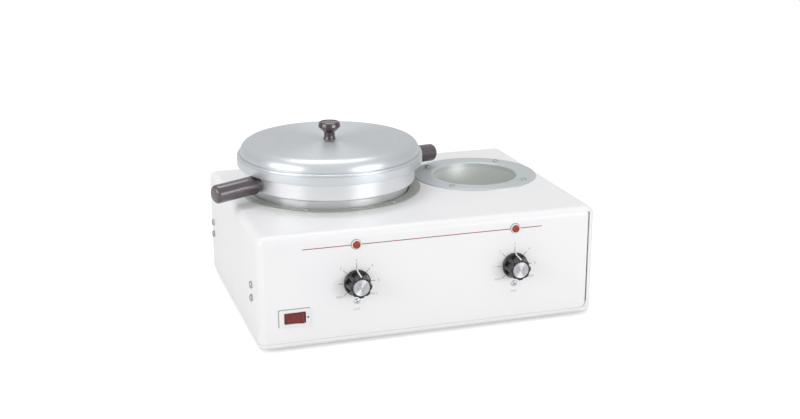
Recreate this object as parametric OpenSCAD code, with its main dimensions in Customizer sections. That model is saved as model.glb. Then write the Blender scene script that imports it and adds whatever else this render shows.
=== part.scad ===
// Double wax warmer: a white sheet-steel housing with two heated wells.
// The left well holds a lift-out aluminium pot with a lid, the right well takes a wax tin.
// Millimetres, +Z up, the front with the dials faces -Y, the feet stand on Z = 0.

/* [Housing] */
// Width of the housing
body_w = 350; // [330:5:430]
// Depth of the housing
body_d = 262; // [235:5:330]
// Height of the housing without its feet
body_h = 114; // [108:2:150]
// Thickness of the steel sheet
sheet_t = 1.2; // [0.8:0.1:2]
// Radius of the housing's bent edges
edge_r = 8; // [5:0.5:12]
// Height of the tray's edge that shows below the hood
tray_edge_h = 6.3; // [5:0.1:9]
// Width of the flanges beside the front panel
flange_w = 7.5; // [6:0.5:12]
// Gap between the front panel and the right flange
gap_right = 1.8; // [0.4:0.1:2.5]
// Gap between the front panel and the left flange
gap_left = 0.4; // [0.3:0.1:2.5]
// Height of the rubber feet
foot_h = 3; // [2:0.5:8]

/* [Wells] */
// Inner radius of the left well
left_mouth_r = 84; // [78:1:86]
// Width of the left well's flange
left_flange_w = 12.4; // [10:0.2:13]
// Inner radius of the right well
right_mouth_r = 45.7; // [40:0.1:48]
// Width of the right well's flange
right_flange_w = 21.8; // [14:0.2:22]
// Depth of the right well
right_depth = 76; // [60:1:80]
// Distance from the housing's centre back to both wells
wells_back = 22.5; // [15:0.5:25]
// Gap between the two flanges
flanges_apart = 1.0; // [0.4:0.2:4]
// Distance from the housing's right side to the right flange
right_margin = 5.6; // [4:0.2:12]
// Thickness of the wells' aluminium sheet
well_t = 1.2; // [0.8:0.1:2]

/* [Pot and lid] */
// Gap between the pot's lower part and the left well
pot_gap = 2; // [1:0.5:4]
// Radius of the pot's wide upper body
pot_body_r = 90; // [88:0.2:96]
// Height of the pot's lower part, from its base to the shoulder
pot_lower_h = 75; // [72:1:90]
// Height of the pot's upper body, from the shoulder to the rim
pot_upper_h = 29.2; // [26:0.1:50]
// Wall thickness of the pot
pot_t = 1.6; // [1:0.1:2.5]
// Turn of the handles away from the housing's long axis
handle_turn = 20; // [0:5:40]
// Angle that the handles hang below level
handle_droop = 3; // [0:1:5]
// Radius of a pot handle
handle_r = 9.6; // [7:0.1:11]
// Length of a pot handle
handle_len = 50.5; // [35:0.5:70]
// Height of the lid above its rim ledge
lid_rise = 14.2; // [13:0.2:20]
// Height of the lid's knob
lid_knob_h = 18.7; // [14:0.1:26]

/* [Controls] */
// Distance of each dial to the left of its well's centre
dial_offset = 15; // [10:0.5:20]
// Height of the dials above the tray
dial_up = 61; // [58:1:68]
// Height of the lamps above the tray
lamp_up = 99.5; // [94:0.5:99.5]
// Radius of a dial knob at its foot
knob_r = 13.3; // [11:0.1:16]
// Length of a dial knob
knob_len = 16.4; // [12:0.2:22]
// Distance of the switch from the housing's left side
switch_in = 34.7; // [30:0.1:40]
// Height of the switch above the tray
switch_up = 31.7; // [26:0.1:36]
// Length of the switch bezel
bezel_w = 31; // [29:0.5:36]
// Height of the switch bezel
bezel_h = 17.5; // [16:0.5:22]
// Angle that the rocker leans to each side
rocker_lean = 9; // [5:0.5:12]

/* [Hidden] */

$fn = 64;
seam = 0.25;

// Levels, counted from the surface that the feet stand on
tray_z = foot_h;
seam_z = tray_z + tray_edge_h;
hood_z = seam_z + seam;
top_z = tray_z + body_h;
mouth_z = top_z + well_t;
front_y = -body_d / 2;
panel_back_y = front_y + sheet_t;

// Well centres: both lie on one line, the right one by its margin, the left one beside it
left_flange_r = left_mouth_r + left_flange_w;
right_flange_r = right_mouth_r + right_flange_w;
right_x = body_w / 2 - right_margin - right_flange_r;
left_x = right_x - right_flange_r - left_flange_r - flanges_apart;
lip_r = 2.2;
well_corner_r = 8;
well_hole_clear = 3;

// Pot: it stands on the left well's floor, its shoulder clear above the flange
shoulder_clear = 8.5;
shoulder_z = mouth_z + shoulder_clear;
pot_base_z = shoulder_z - pot_lower_h;
rest_gap = 0.3;
left_floor_z = pot_base_z - rest_gap;
right_floor_z = mouth_z - right_depth;
pot_lower_r = left_mouth_r - pot_gap;
rim_z = shoulder_z + pot_upper_h;
rim_bead_r = 3.3;
bead_x = pot_body_r - pot_t + rim_bead_r;
bead_z = rim_z - rim_bead_r;
pot_corner_r = 6;
pot_shoulder_r = max(2, pot_t + 0.4);

// Handles: round grips that stand out of the pot's wall and hang a little below level
handle_z = shoulder_z + 9.1;
handle_gap = 0.9;
handle_foot = pot_body_r + handle_gap;
handle_round = 3;
handle_foot_round = 4;
stud_r = 2.2;
stud_depth = 20;
stud_seat = 0.6;

// Lid: the inner edge of its ledge rests on the pot's rolled rim and its skirt hangs round the outside
lid_t = 1.1;
lid_shoulder_r = 11.5;
lid_gap = 1.1;
skirt_t = 1.9;
ledge_w = 3.3;
lid_skirt_r = bead_x + rim_bead_r + lid_gap + skirt_t;
lid_wall_r = lid_skirt_r - ledge_w;
seat_x = lid_wall_r - lid_t - bead_x;
ledge_z = bead_z + sqrt(pow(rim_bead_r + rest_gap, 2) - pow(seat_x, 2));
lid_top_z = ledge_z + lid_rise;
skirt_drop = 10.1;
groove_depth = 0.7;
lid_screw_r = 1.75;

// Controls
left_dial_x = left_x - dial_offset;
right_dial_x = right_x - dial_offset;
dial_z = tray_z + dial_up;
lamp_z = tray_z + lamp_up;
knob_gap = 0.6;
knob_y = front_y - knob_gap;
knob_grip_r = knob_r - 0.9;
knob_face_r = knob_r - 2.3;
knob_foot_l = 3.4;
knob_lobes = 8;
flute_r = 3.6;
flute_depth = 1.5;
flute_tilt = 3;
cap_r = knob_face_r - 2.8;
cap_t = 1.2;
cap_proud = 0.2;
spindle_r = 3;
spindle_out = 11;
spindle_in = 12;
running_gap = 0.05;
bush_r = 4.8;
dial_screw_down = 19.6;
stat_plate_t = 1;
stat_w = 32;
stat_len = 20;
stat_cup_t = 4;
stat_back_y = panel_back_y + stat_plate_t + stat_len;
stat_wire_y = stat_back_y - stat_cup_t;
lamp_r = 5.6;
lamp_hole_r = 4.3;
lens_r = 3.6;
lens_proud = 3;
lens_seat = 8;

// Switch
switch_x = -body_w / 2 + switch_in;
switch_z = tray_z + switch_up;
bezel_t = 1.8;
rocker_r = 11;
rocker_in = 4;
rocker_h = 11;
rocker_side_gap = 0.3;
rocker_pin_r = 1.2;
case_wall = 1.5;
case_w = 2 * (rocker_r + rocker_side_gap + case_wall);
case_h = rocker_h + 2 * rocker_side_gap + 2 * case_wall;
case_depth = 20;
tab_pitch = 8;
tab_l = 8;
tab_h = 6.2;
tab_t = 0.8;

// Fasteners
screw_r = 1.5;
screw_hole_r = 1.65;
pan_r = 3.1;
pan_h = 1.8;
side_screw_up = [45, 58.5];
side_screw_front = 31.6;
side_screw_rear = 20;
side_pan_r = 3.7;
side_pan_h = 2.4;
thread_r = 1.52;
cut_l = 20;
well_pan_r = 2.6;
well_pan_h = 1.5;
well_screw_l = 7;
lip_t = 1;
lip_gap = 0.2;
lip_h = 6;
tray_bend_r = tray_edge_h - sheet_t - 0.3;
bracket_t = 1.4;
bracket_w = 20;
bracket_h = 68;
foot_in_x = 25;
foot_in_y = 26;
foot_r = 9;
foot_web = 1.3;
foot_recess_r = 4.2;

// Inner parts round the wells
band_t = 2.6;
band_h = 32;
band_up = 8;
band_gap = 0.02;
band_split = 9;
lug_t = 2;
lug_out = 9;
clamp_bolt_out = 6;
clamp_bolt_up = [8, band_h - 8];
wool_t = 8;
wool_top = mouth_z - 9;
wool_gap = 0.05;
sensor_r = 3;
capillary_r = 1.1;
sensor_len = 60;
strap_gap = 0.1;

// Inner parts on the tray
shield_y = front_y + 43;
shield_bottom = tray_z + 40;
shield_top = top_z - 8;
leg_w = 16;
leg_foot = 14;
leg_x = body_w / 2 - 22 - leg_w / 2;
leg_screw_y = shield_y + leg_foot - 5;
capillary_y = shield_y + 20;
capillary_z = tray_z + 26;
cord_x = right_x + 14;
block_w = 40;
block_d = 20;
block_h = 18;
block_y = body_d / 2 - 36;
block_top_z = tray_z + sheet_t + block_h;
terminal_pitch = 12;
wire_r = 1.2;
wire_z = tray_z + sheet_t + 6;
bushing_z = tray_z + 32;
bushing_r = 6;
bushing_bore_r = 4.2;
bushing_flange_r = 9;
bushing_flange_t = 2.4;

// The frame's origin: under the middle of everything, handles and knobs included
handle_reach = pot_body_r + (handle_gap + handle_len - handle_round) * cos(handle_droop);
handle_lean = cos(handle_turn) * cos(handle_droop);
reach_x = handle_reach * cos(handle_turn) + (handle_r - handle_round) * sqrt(1 - handle_lean * handle_lean)
    + handle_round;
left_most = min(-body_w / 2 - side_pan_h, left_x - reach_x);
right_most = body_w / 2 + side_pan_h;
shift_x = -(left_most + right_most) / 2;
shift_y = (knob_len + knob_gap - bushing_flange_t) / 2;

// Places the housing's own frame into the shared frame
module placed() {
    translate([shift_x, shift_y, 0]) children();
}

// Points along an arc, both ends included
function arc(x, y, r, from, to, steps = 6) =
    [for (i = [0 : steps]) let (a = from + (to - from) * i / steps) [x + r * cos(a), y + r * sin(a)]];

// Sweeps a sheet's profile round a rectangle with round corners: the profile's X points outwards
// from the corners' centres and its Y points up
module swept_round(w, d, r) {
    for (i = [0 : 3]) {
        across = i % 2 == 0 ? w : d;
        along = i % 2 == 0 ? d : w;
        rotate([0, 0, 90 * i])
            translate([across / 2 - r, along / 2 - r, 0]) {
                rotate([90, 0, 0]) linear_extrude(along - 2 * r) children();
                rotate_extrude(angle = 90) children();
            }
    }
}

// A quarter bend of sheet round the profile's origin, from flat to upright
module bend(r, t) {
    intersection() {
        difference() {
            circle(r = r);
            circle(r = r - t);
        }
        square([r, r]);
    }
}

// A round bar along +Y or -Y from a point on the front
module bar_y(x, y, z, r, len, dir = -1) {
    translate([x, y, z]) rotate([dir < 0 ? 90 : -90, 0, 0]) cylinder(r = r, h = len);
}

// A pan-head screw with its head on Z = 0 and its shank down
module pan_screw(head_r, head_h, shank_r, len) {
    rotate_extrude()
        polygon(concat(
            [[0, -len], [shank_r * 0.6, -len], [shank_r, -len + shank_r], [shank_r, 0], [head_r, 0]],
            arc(head_r - head_h * 0.7, head_h * 0.3, head_h * 0.7, 0, 90, 4),
            [[0, head_h]]
        ));
}

// Puts children at a distance round a centre, at each given angle
module around(x, y, r, angles) {
    for (a = angles)
        translate([x + r * cos(a), y + r * sin(a), 0]) rotate([0, 0, a]) children();
}

// A round hole down through the hood's top and the flanges
module down_hole(r) {
    translate([0, 0, top_z - cut_l / 2]) cylinder(r = r, h = cut_l);
}

// A round hole through the front panel
module front_hole(x, z, r) {
    bar_y(x, front_y + cut_l / 2, z, r, cut_l);
}

left_screw_angles = [for (i = [0 : 5]) 60 * i];
right_screw_angles = [for (i = [0 : 3]) 45 + 90 * i];
left_screw_ring = left_mouth_r + 7.2;
right_screw_ring = right_mouth_r + 12.6;

// Housing

// The slit between the front panel and one flange, with its rounded lower end and its bend relief
module panel_gap(side, gap) {
    slit_x = side * (body_w / 2 - flange_w) - gap / 2;
    corner_r = 7;
    depth = edge_r + 2;
    relief_h = 1.6;
    relief_w = gap + 2.4;
    slit_top = top_z - 3;
    turn_x = side > 0 ? slit_x - corner_r : slit_x + gap + corner_r;
    translate([slit_x, front_y - 1, hood_z + corner_r])
        cube([gap, depth, slit_top - hood_z - corner_r]);
    translate([slit_x + gap / 2 - relief_w / 2, front_y - 1, slit_top - relief_h])
        cube([relief_w, depth, relief_h]);
    intersection() {
        translate([turn_x, front_y - 1 + depth, hood_z + corner_r])
            rotate([90, 0, 0])
                difference() {
                    cylinder(r = corner_r + gap, h = depth);
                    translate([0, 0, -1]) cylinder(r = corner_r, h = depth + 2);
                }
        translate([side > 0 ? turn_x : turn_x - corner_r - gap, front_y - 1, hood_z - gap - 1])
            cube([corner_r + gap, depth, corner_r + gap + 1]);
    }
}

// The hood's sheet before it is cut: a flat top, a bend all round and upright walls
module hood_sheet() {
    flat_w = body_w - 2 * edge_r;
    flat_d = body_d - 2 * edge_r;
    bend_z = top_z - edge_r;
    translate([-flat_w / 2, -flat_d / 2, top_z - sheet_t]) cube([flat_w, flat_d, sheet_t]);
    swept_round(body_w, body_d, edge_r) {
        translate([0, bend_z]) bend(edge_r, sheet_t);
        translate([edge_r - sheet_t, hood_z]) square([sheet_t, bend_z - hood_z]);
    }
}

module hood() {
    color([0.95, 0.95, 0.96])
    placed()
    difference() {
        hood_sheet();
        panel_gap(1, gap_right);
        panel_gap(-1, gap_left);
        translate([left_x, wells_back, 0]) down_hole(left_mouth_r + well_hole_clear);
        translate([right_x, wells_back, 0]) down_hole(right_mouth_r + well_hole_clear);
        around(left_x, wells_back, left_screw_ring, left_screw_angles) down_hole(screw_hole_r);
        around(right_x, wells_back, right_screw_ring, right_screw_angles) down_hole(screw_hole_r);
        for (x = [left_dial_x, right_dial_x]) {
            front_hole(x, dial_z, bush_r + 0.2);
            front_hole(x, lamp_z, lamp_hole_r);
            front_hole(x, dial_z - dial_screw_down, screw_hole_r);
        }
        translate([switch_x, front_y, switch_z])
            cube([case_w + 0.6, cut_l, case_h + 0.6], center = true);
        for (sx = [-1, 1], y = side_screw_rows(), up = side_screw_up)
            translate([sx * body_w / 2, y, tray_z + up])
                rotate([0, 90, 0]) cylinder(r = screw_hole_r, h = cut_l, center = true);
        translate([cord_x, body_d / 2, bushing_z])
            rotate([90, 0, 0]) cylinder(r = bushing_r + 0.1, h = cut_l, center = true);
    }
}

function side_screw_rows() = [front_y + side_screw_front, body_d / 2 - side_screw_rear];

// The tray's sheet: a floor, a round edge, a short wall and a joggled lip inside the hood
module tray_sheet() {
    flat_w = body_w - 2 * edge_r;
    flat_d = body_d - 2 * edge_r;
    lip_x = edge_r - sheet_t - lip_gap - lip_t;
    translate([-flat_w / 2, -flat_d / 2, tray_z]) cube([flat_w, flat_d, sheet_t]);
    swept_round(body_w, body_d, edge_r) {
        translate([0, tray_z]) square([edge_r - tray_bend_r, sheet_t]);
        translate([edge_r - tray_bend_r, tray_z + tray_bend_r])
            mirror([0, 1, 0]) bend(tray_bend_r, sheet_t);
        translate([edge_r - sheet_t, tray_z + tray_bend_r]) square([sheet_t, tray_edge_h - tray_bend_r]);
        translate([lip_x, seam_z - sheet_t]) square([edge_r - lip_x, sheet_t]);
        translate([lip_x, seam_z - sheet_t]) square([lip_t, sheet_t + lip_h]);
    }
}

module base_tray() {
    color([0.9, 0.9, 0.91])
    placed()
    difference() {
        tray_sheet();
        at_feet() cylinder(r = screw_hole_r, h = seam_z);
        for (s = [-1, 1])
            translate([s * leg_x, leg_screw_y, 0]) cylinder(r = screw_hole_r - 0.3, h = seam_z);
        vent_slots();
    }
}

// Puts children at the four feet
module at_feet() {
    for (sx = [-1, 1], sy = [-1, 1])
        translate([sx * (body_w / 2 - foot_in_x), sy * (body_d / 2 - foot_in_y), 0]) children();
}

// Two rows of slots in the tray under each well let air in
module vent_slots() {
    slot_l = 26;
    slot_w = 3;
    slots = 5;
    pitch = 10;
    row_out = 18;
    for (x = [left_x, right_x], row = [-1, 1], i = [0 : slots - 1])
        translate([x + row * row_out, wells_back + (i - (slots - 1) / 2) * pitch, tray_z])
            cube([slot_l, slot_w, seam_z], center = true);
}

// An upright angle: its foot lies on the tray, and a jog takes its plate out to the hood's side
module corner_bracket() {
    outer_x = body_w / 2 - sheet_t;
    lower_x = outer_x - lip_gap - lip_t - 0.05;
    z0 = tray_z + sheet_t;
    jog_z = seam_z + lip_h + 0.5;
    jog_h = 2;
    foot_bend_r = max(tray_bend_r - sheet_t, bracket_t + 0.2);
    rotate([90, 0, 0])
        linear_extrude(bracket_w, center = true)
            polygon(concat(
                [[lower_x - bracket_w, z0]],
                arc(lower_x - foot_bend_r, z0 + foot_bend_r, foot_bend_r, -90, 0, 6),
                [[lower_x, jog_z], [outer_x, jog_z + jog_h], [outer_x, z0 + bracket_h]],
                [[outer_x - bracket_t, z0 + bracket_h], [outer_x - bracket_t, jog_z + jog_h + 0.6]],
                [[lower_x - bracket_t, jog_z + 0.6]],
                arc(lower_x - foot_bend_r, z0 + foot_bend_r, foot_bend_r - bracket_t, 0, -90, 4),
                [[lower_x - bracket_w, z0 + bracket_t]]
            ));
}

module corner_brackets() {
    color([0.62, 0.64, 0.66])
    placed()
    difference() {
        for (sx = [-1, 1], y = side_screw_rows())
            translate([0, y, 0]) mirror([sx < 0 ? 1 : 0, 0, 0]) corner_bracket();
        for (y = side_screw_rows(), up = side_screw_up)
            translate([0, y, tray_z + up])
                rotate([0, 90, 0]) cylinder(r = thread_r, h = body_w, center = true);
        at_feet() cylinder(r = thread_r, h = 30);
    }
}

module side_screws() {
    color([0.7, 0.71, 0.73])
    placed()
    for (sx = [-1, 1], y = side_screw_rows(), up = side_screw_up)
        translate([sx * body_w / 2, y, tray_z + up])
            rotate([0, sx * 90, 0]) pan_screw(side_pan_r, side_pan_h, screw_r, 8);
}

module rubber_feet() {
    color([0.12, 0.12, 0.13])
    placed()
    at_feet()
        difference() {
            cylinder(r1 = foot_r - 0.8, r2 = foot_r, h = foot_h);
            translate([0, 0, -1]) cylinder(r = foot_recess_r, h = foot_h - foot_web + 1);
            cylinder(r = screw_hole_r, h = foot_h + 1);
        }
}

module foot_screws() {
    color([0.6, 0.61, 0.63])
    placed()
    at_feet()
        translate([0, 0, foot_h - foot_web])
            rotate([180, 0, 0]) pan_screw(pan_r, 1.4, screw_r, foot_web + 10);
}

// Wells

// A drawn aluminium well: a flat flange, a rolled lip, a straight wall and a rounded floor
module well(mouth_r, flange_r, floor_z) {
    lip_x = mouth_r + lip_r;
    lip_z = mouth_z - lip_r;
    corner_x = mouth_r - well_corner_r;
    corner_z = floor_z + well_corner_r;
    rotate_extrude($fn = 128)
        polygon(concat(
            [[0, floor_z]],
            arc(corner_x, corner_z, well_corner_r, -90, 0, 6),
            arc(lip_x, lip_z, lip_r, 180, 90, 6),
            [[flange_r - 0.4, mouth_z], [flange_r, mouth_z - 0.4], [flange_r, mouth_z - well_t]],
            arc(lip_x, lip_z, lip_r - well_t, 90, 180, 4),
            arc(corner_x, corner_z, well_corner_r + well_t, 0, -90, 6),
            [[0, floor_z - well_t]]
        ));
}

module screwed_well(x, mouth_r, flange_r, floor_z, ring, angles) {
    difference() {
        translate([x, wells_back, 0]) well(mouth_r, flange_r, floor_z);
        around(x, wells_back, ring, angles) down_hole(screw_hole_r);
    }
}

module left_well() {
    color([0.68, 0.69, 0.68])
    placed()
    screwed_well(left_x, left_mouth_r, left_flange_r, left_floor_z, left_screw_ring, left_screw_angles);
}

module right_well() {
    color([0.7, 0.71, 0.7])
    placed()
    screwed_well(right_x, right_mouth_r, right_flange_r, right_floor_z, right_screw_ring,
        right_screw_angles);
}

module left_well_screws() {
    color([0.75, 0.76, 0.77])
    placed()
    around(left_x, wells_back, left_screw_ring, left_screw_angles)
        translate([0, 0, mouth_z]) pan_screw(well_pan_r, well_pan_h, screw_r, well_screw_l);
}

module right_well_screws() {
    color([0.75, 0.76, 0.77])
    placed()
    around(right_x, wells_back, right_screw_ring, right_screw_angles)
        translate([0, 0, mouth_z]) pan_screw(pan_r, pan_h, screw_r, well_screw_l);
}

// A split band heater with two clamp lugs at the back of its well
module heater_band(x, mouth_r, floor_z) {
    inner_r = mouth_r + well_t + band_gap;
    z = floor_z + band_up;
    translate([x, wells_back, z])
        difference() {
            union() {
                difference() {
                    cylinder(r = inner_r + band_t, h = band_h, $fn = 128);
                    translate([0, 0, -1]) cylinder(r = inner_r, h = band_h + 2, $fn = 128);
                }
                for (s = [-1, 1])
                    translate([s * (band_split + lug_t) / 2 - lug_t / 2, inner_r + 1, 0])
                        cube([lug_t, lug_out, band_h]);
            }
            translate([-band_split / 2, 0, -1]) cube([band_split, inner_r + 20, band_h + 2]);
            for (up = clamp_bolt_up)
                translate([0, inner_r + clamp_bolt_out, up])
                    rotate([0, 90, 0]) cylinder(r = screw_hole_r, h = 30, center = true);
        }
}

module left_heater_band() {
    color([0.58, 0.56, 0.52])
    placed()
    heater_band(left_x, left_mouth_r, left_floor_z);
}

module right_heater_band() {
    color([0.58, 0.56, 0.52])
    placed()
    heater_band(right_x, right_mouth_r, right_floor_z);
}

// The bolts that draw one band's lugs together
module clamp_bolts(x, mouth_r, floor_z) {
    bolt_y = wells_back + mouth_r + well_t + band_gap + clamp_bolt_out;
    for (up = clamp_bolt_up)
        translate([x + band_split / 2 + lug_t, bolt_y, floor_z + band_up + up])
            rotate([0, 90, 0]) pan_screw(2.7, 2, screw_r, band_split + 2 * lug_t + 2);
}

module heater_clamp_bolts() {
    color([0.66, 0.67, 0.69])
    placed() {
        clamp_bolts(left_x, left_mouth_r, left_floor_z);
        clamp_bolts(right_x, right_mouth_r, right_floor_z);
    }
}

// A sleeve of mineral wool round the well, open at the back where the band is clamped
module wool_sleeve(x, mouth_r, floor_z) {
    inner_r = mouth_r + well_t + band_gap + band_t + wool_gap;
    notch = 44;
    notch_h = band_up + band_h + 8;
    bottom_z = floor_z + 2;
    translate([x, wells_back, bottom_z])
        difference() {
            cylinder(r = inner_r + wool_t, h = wool_top - bottom_z, $fn = 128);
            translate([0, 0, -1]) cylinder(r = inner_r, h = body_h, $fn = 128);
            translate([-notch / 2, 0, -1]) cube([notch, inner_r + 2 * wool_t, notch_h]);
        }
}

module left_insulation() {
    color([0.93, 0.88, 0.62])
    placed()
    wool_sleeve(left_x, left_mouth_r, left_floor_z);
}

module right_insulation() {
    color([0.93, 0.88, 0.62])
    placed()
    wool_sleeve(right_x, right_mouth_r, right_floor_z);
}

// A plate on two legs keeps the wells' heat away from the controls
module heat_shield() {
    half_w = leg_x + leg_w / 2;
    color([0.72, 0.73, 0.74])
    placed()
    difference() {
        union() {
            translate([-half_w, shield_y, shield_bottom])
                cube([2 * half_w, sheet_t, shield_top - shield_bottom]);
            for (s = [-1, 1])
                translate([s * leg_x - leg_w / 2, shield_y, tray_z + sheet_t]) {
                    cube([leg_w, sheet_t, shield_bottom - tray_z]);
                    cube([leg_w, leg_foot, sheet_t]);
                }
        }
        for (s = [-1, 1])
            translate([s * leg_x, leg_screw_y, 0]) cylinder(r = screw_hole_r, h = cut_l);
    }
}

module shield_screws() {
    color([0.6, 0.61, 0.63])
    placed()
    for (s = [-1, 1])
        translate([s * leg_x, leg_screw_y, tray_z + 2 * sheet_t])
            pan_screw(well_pan_r, well_pan_h, screw_r - 0.3, 2 * sheet_t - 0.1);
}

// Controls

// A capillary thermostat: a bracket, a bush in the panel, a switch block and a round bellows cup
module thermostat(x) {
    plate_w = 26;
    plate_h = 50;
    cup_r = 12;
    difference() {
        union() {
            translate([x - plate_w / 2, panel_back_y, dial_z - plate_h / 2])
                cube([plate_w, stat_plate_t, plate_h]);
            translate([x - stat_w / 2, panel_back_y + stat_plate_t, dial_z - stat_w / 2])
                cube([stat_w, stat_len - stat_cup_t, stat_w]);
            bar_y(x, stat_back_y, dial_z, cup_r, stat_cup_t);
            bar_y(x, panel_back_y + stat_plate_t / 2, dial_z, bush_r, sheet_t + stat_plate_t / 2);
        }
        bar_y(x, panel_back_y + spindle_in + 3, dial_z, spindle_r + running_gap, spindle_in + cut_l);
        bar_y(x, panel_back_y + 3, dial_z - dial_screw_down, screw_r + 0.02, 10);
    }
}

module left_thermostat() {
    color([0.8, 0.78, 0.72])
    placed()
    thermostat(left_dial_x);
}

module right_thermostat() {
    color([0.8, 0.78, 0.72])
    placed()
    thermostat(right_dial_x);
}

// A tube along square turns, with a ball at each turn
module run_of_tube(points, r) {
    for (i = [0 : len(points) - 2]) {
        a = points[i];
        b = points[i + 1];
        d = b - a;
        length = norm(d);
        translate(a)
            rotate([0, acos(d[2] / length), atan2(d[1], d[0])]) cylinder(r = r, h = length, $fn = 24);
        if (i > 0) translate(a) sphere(r = r, $fn = 24);
    }
}

// The thermostat's bulb lies under the well's floor and its capillary runs forward to the switch body
module sensor(dial_x, well_x, floor_z) {
    bulb_z = floor_z - well_t - sensor_r - strap_gap;
    bulb_y = wells_back - sensor_len / 2;
    from_z = dial_z - 8;
    lead = 6;
    run_of_tube([
        [dial_x, stat_back_y, from_z], [dial_x, stat_back_y + lead, from_z],
        [dial_x, stat_back_y + lead, capillary_z], [dial_x, capillary_y, capillary_z],
        [well_x, capillary_y, capillary_z], [well_x, bulb_y - lead, capillary_z],
        [well_x, bulb_y - lead, bulb_z], [well_x, bulb_y + 1, bulb_z]
    ], capillary_r);
    bar_y(well_x, bulb_y, bulb_z, sensor_r, sensor_len, 1);
}

module left_sensor() {
    color([0.72, 0.45, 0.3])
    placed()
    sensor(left_dial_x, left_x, left_floor_z);
}

module right_sensor() {
    color([0.72, 0.45, 0.3])
    placed()
    sensor(right_dial_x, right_x, right_floor_z);
}

// A strap with two wings, bent over the bulb: its outline is extruded along the bulb
module sensor_clip() {
    strap_t = 0.8;
    strap_w = 10;
    wing = 8;
    hold_r = sensor_r + 0.02;
    under_z = sensor_r + strap_gap;
    rotate([90, 0, 0])
        linear_extrude(strap_w, center = true)
            difference() {
                union() {
                    intersection() {
                        circle(r = hold_r + strap_t);
                        translate([-cut_l, -cut_l + under_z]) square([2 * cut_l, cut_l]);
                    }
                    translate([-hold_r - wing, under_z - strap_t]) square([2 * (hold_r + wing), strap_t]);
                }
                circle(r = hold_r);
                translate([-hold_r, 0]) square([2 * hold_r, cut_l]);
            }
}

// Straps spot-welded under each well hold the bulbs against its floor
module sensor_clips() {
    color([0.72, 0.73, 0.74])
    placed()
    for (w = [[left_x, left_floor_z], [right_x, right_floor_z]], end = [-1, 1])
        translate([w[0], wells_back + end * sensor_len / 4, w[1] - well_t - sensor_r - strap_gap])
            sensor_clip();
}

module dial_screws() {
    color([0.78, 0.78, 0.8])
    placed()
    for (x = [left_dial_x, right_dial_x])
        translate([x, front_y, dial_z - dial_screw_down])
            rotate([90, 0, 0]) pan_screw(2.9, 1.6, screw_r, 7);
}

// A moulded dial knob: a round foot and a fluted grip that narrows to the face
module dial_knob(x) {
    edge_round = 1.2;
    flute_z = knob_foot_l + 0.6;
    flute_x = knob_face_r - flute_depth + flute_r + (knob_len - flute_z) * tan(flute_tilt);
    translate([x, knob_y, dial_z])
        rotate([90, 0, 0])
            difference() {
                rotate_extrude()
                    polygon(concat(
                        [[0, 0], [knob_r - 0.4, 0], [knob_r, 0.5], [knob_r, knob_foot_l - 0.8]],
                        [[knob_grip_r, knob_foot_l]],
                        arc(knob_face_r - edge_round, knob_len - edge_round, edge_round, 20, 90, 4),
                        [[0, knob_len]]
                    ));
                translate([0, 0, knob_len - cap_t + cap_proud]) cylinder(r = cap_r + 0.05, h = cap_t);
                translate([0, 0, -1]) cylinder(r = spindle_r + 0.02, h = spindle_out + 2);
                for (i = [0 : knob_lobes - 1])
                    rotate([0, 0, (i + 0.5) * 360 / knob_lobes])
                        translate([flute_x, 0, flute_z])
                            rotate([0, -flute_tilt, 0]) cylinder(r = flute_r, h = knob_len, $fn = 32);
            }
}

module left_dial_knob() {
    color([0.13, 0.12, 0.13])
    placed()
    dial_knob(left_dial_x);
}

module right_dial_knob() {
    color([0.13, 0.12, 0.13])
    placed()
    dial_knob(right_dial_x);
}

// A spun aluminium disc let into the knob's face
module knob_cap(x) {
    translate([x, knob_y - knob_len + cap_t - cap_proud, dial_z])
        rotate([90, 0, 0])
            rotate_extrude()
                polygon([[0, 0], [cap_r, 0], [cap_r, cap_t - 0.3], [cap_r - 0.5, cap_t], [0, cap_t - 0.3]]);
}

module left_knob_cap() {
    color([0.85, 0.86, 0.87])
    placed()
    knob_cap(left_dial_x);
}

module right_knob_cap() {
    color([0.85, 0.86, 0.87])
    placed()
    knob_cap(right_dial_x);
}

// The thermostat's spindle turns with its knob
module spindle(x) {
    bar_y(x, panel_back_y + spindle_in, dial_z, spindle_r, spindle_in + sheet_t + knob_gap + spindle_out);
}

module left_spindle() {
    color([0.7, 0.7, 0.66])
    placed()
    spindle(left_dial_x);
}

module right_spindle() {
    color([0.7, 0.7, 0.66])
    placed()
    spindle(right_dial_x);
}

// The lamp's holder: a round bezel on the panel and a barrel behind it
module lamp_body(x) {
    barrel_l = 18;
    barrel_r = lamp_hole_r - 0.2;
    flange_t = 1.1;
    seat_r = lens_r + 0.1;
    translate([x, front_y, lamp_z])
        rotate([90, 0, 0])
            rotate_extrude()
                polygon([
                    [seat_r, flange_t], [seat_r, -lens_seat], [0, -lens_seat], [0, -barrel_l],
                    [barrel_r, -barrel_l], [barrel_r, 0], [lamp_r, 0],
                    [lamp_r, 0.3], [lamp_r - 0.7, flange_t]
                ]);
}

module left_lamp_body() {
    color([0.93, 0.93, 0.93])
    placed()
    lamp_body(left_dial_x);
}

module right_lamp_body() {
    color([0.93, 0.93, 0.93])
    placed()
    lamp_body(right_dial_x);
}

// A domed red lens that stands out of its holder
module lamp_lens(x) {
    dome = 1.2;
    translate([x, front_y, lamp_z])
        rotate([90, 0, 0])
            rotate_extrude()
                polygon(concat(
                    [[0, 0.1 - lens_seat], [lens_r, 0.1 - lens_seat]],
                    arc(lens_r - dome, lens_proud - dome, dome, 0, 80, 5),
                    [[0, lens_proud + 0.2]]
                ));
}

module left_lamp_lens() {
    color([0.62, 0.2, 0.17])
    placed()
    lamp_lens(left_dial_x);
}

module right_lamp_lens() {
    color([0.62, 0.2, 0.17])
    placed()
    lamp_lens(right_dial_x);
}

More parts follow.
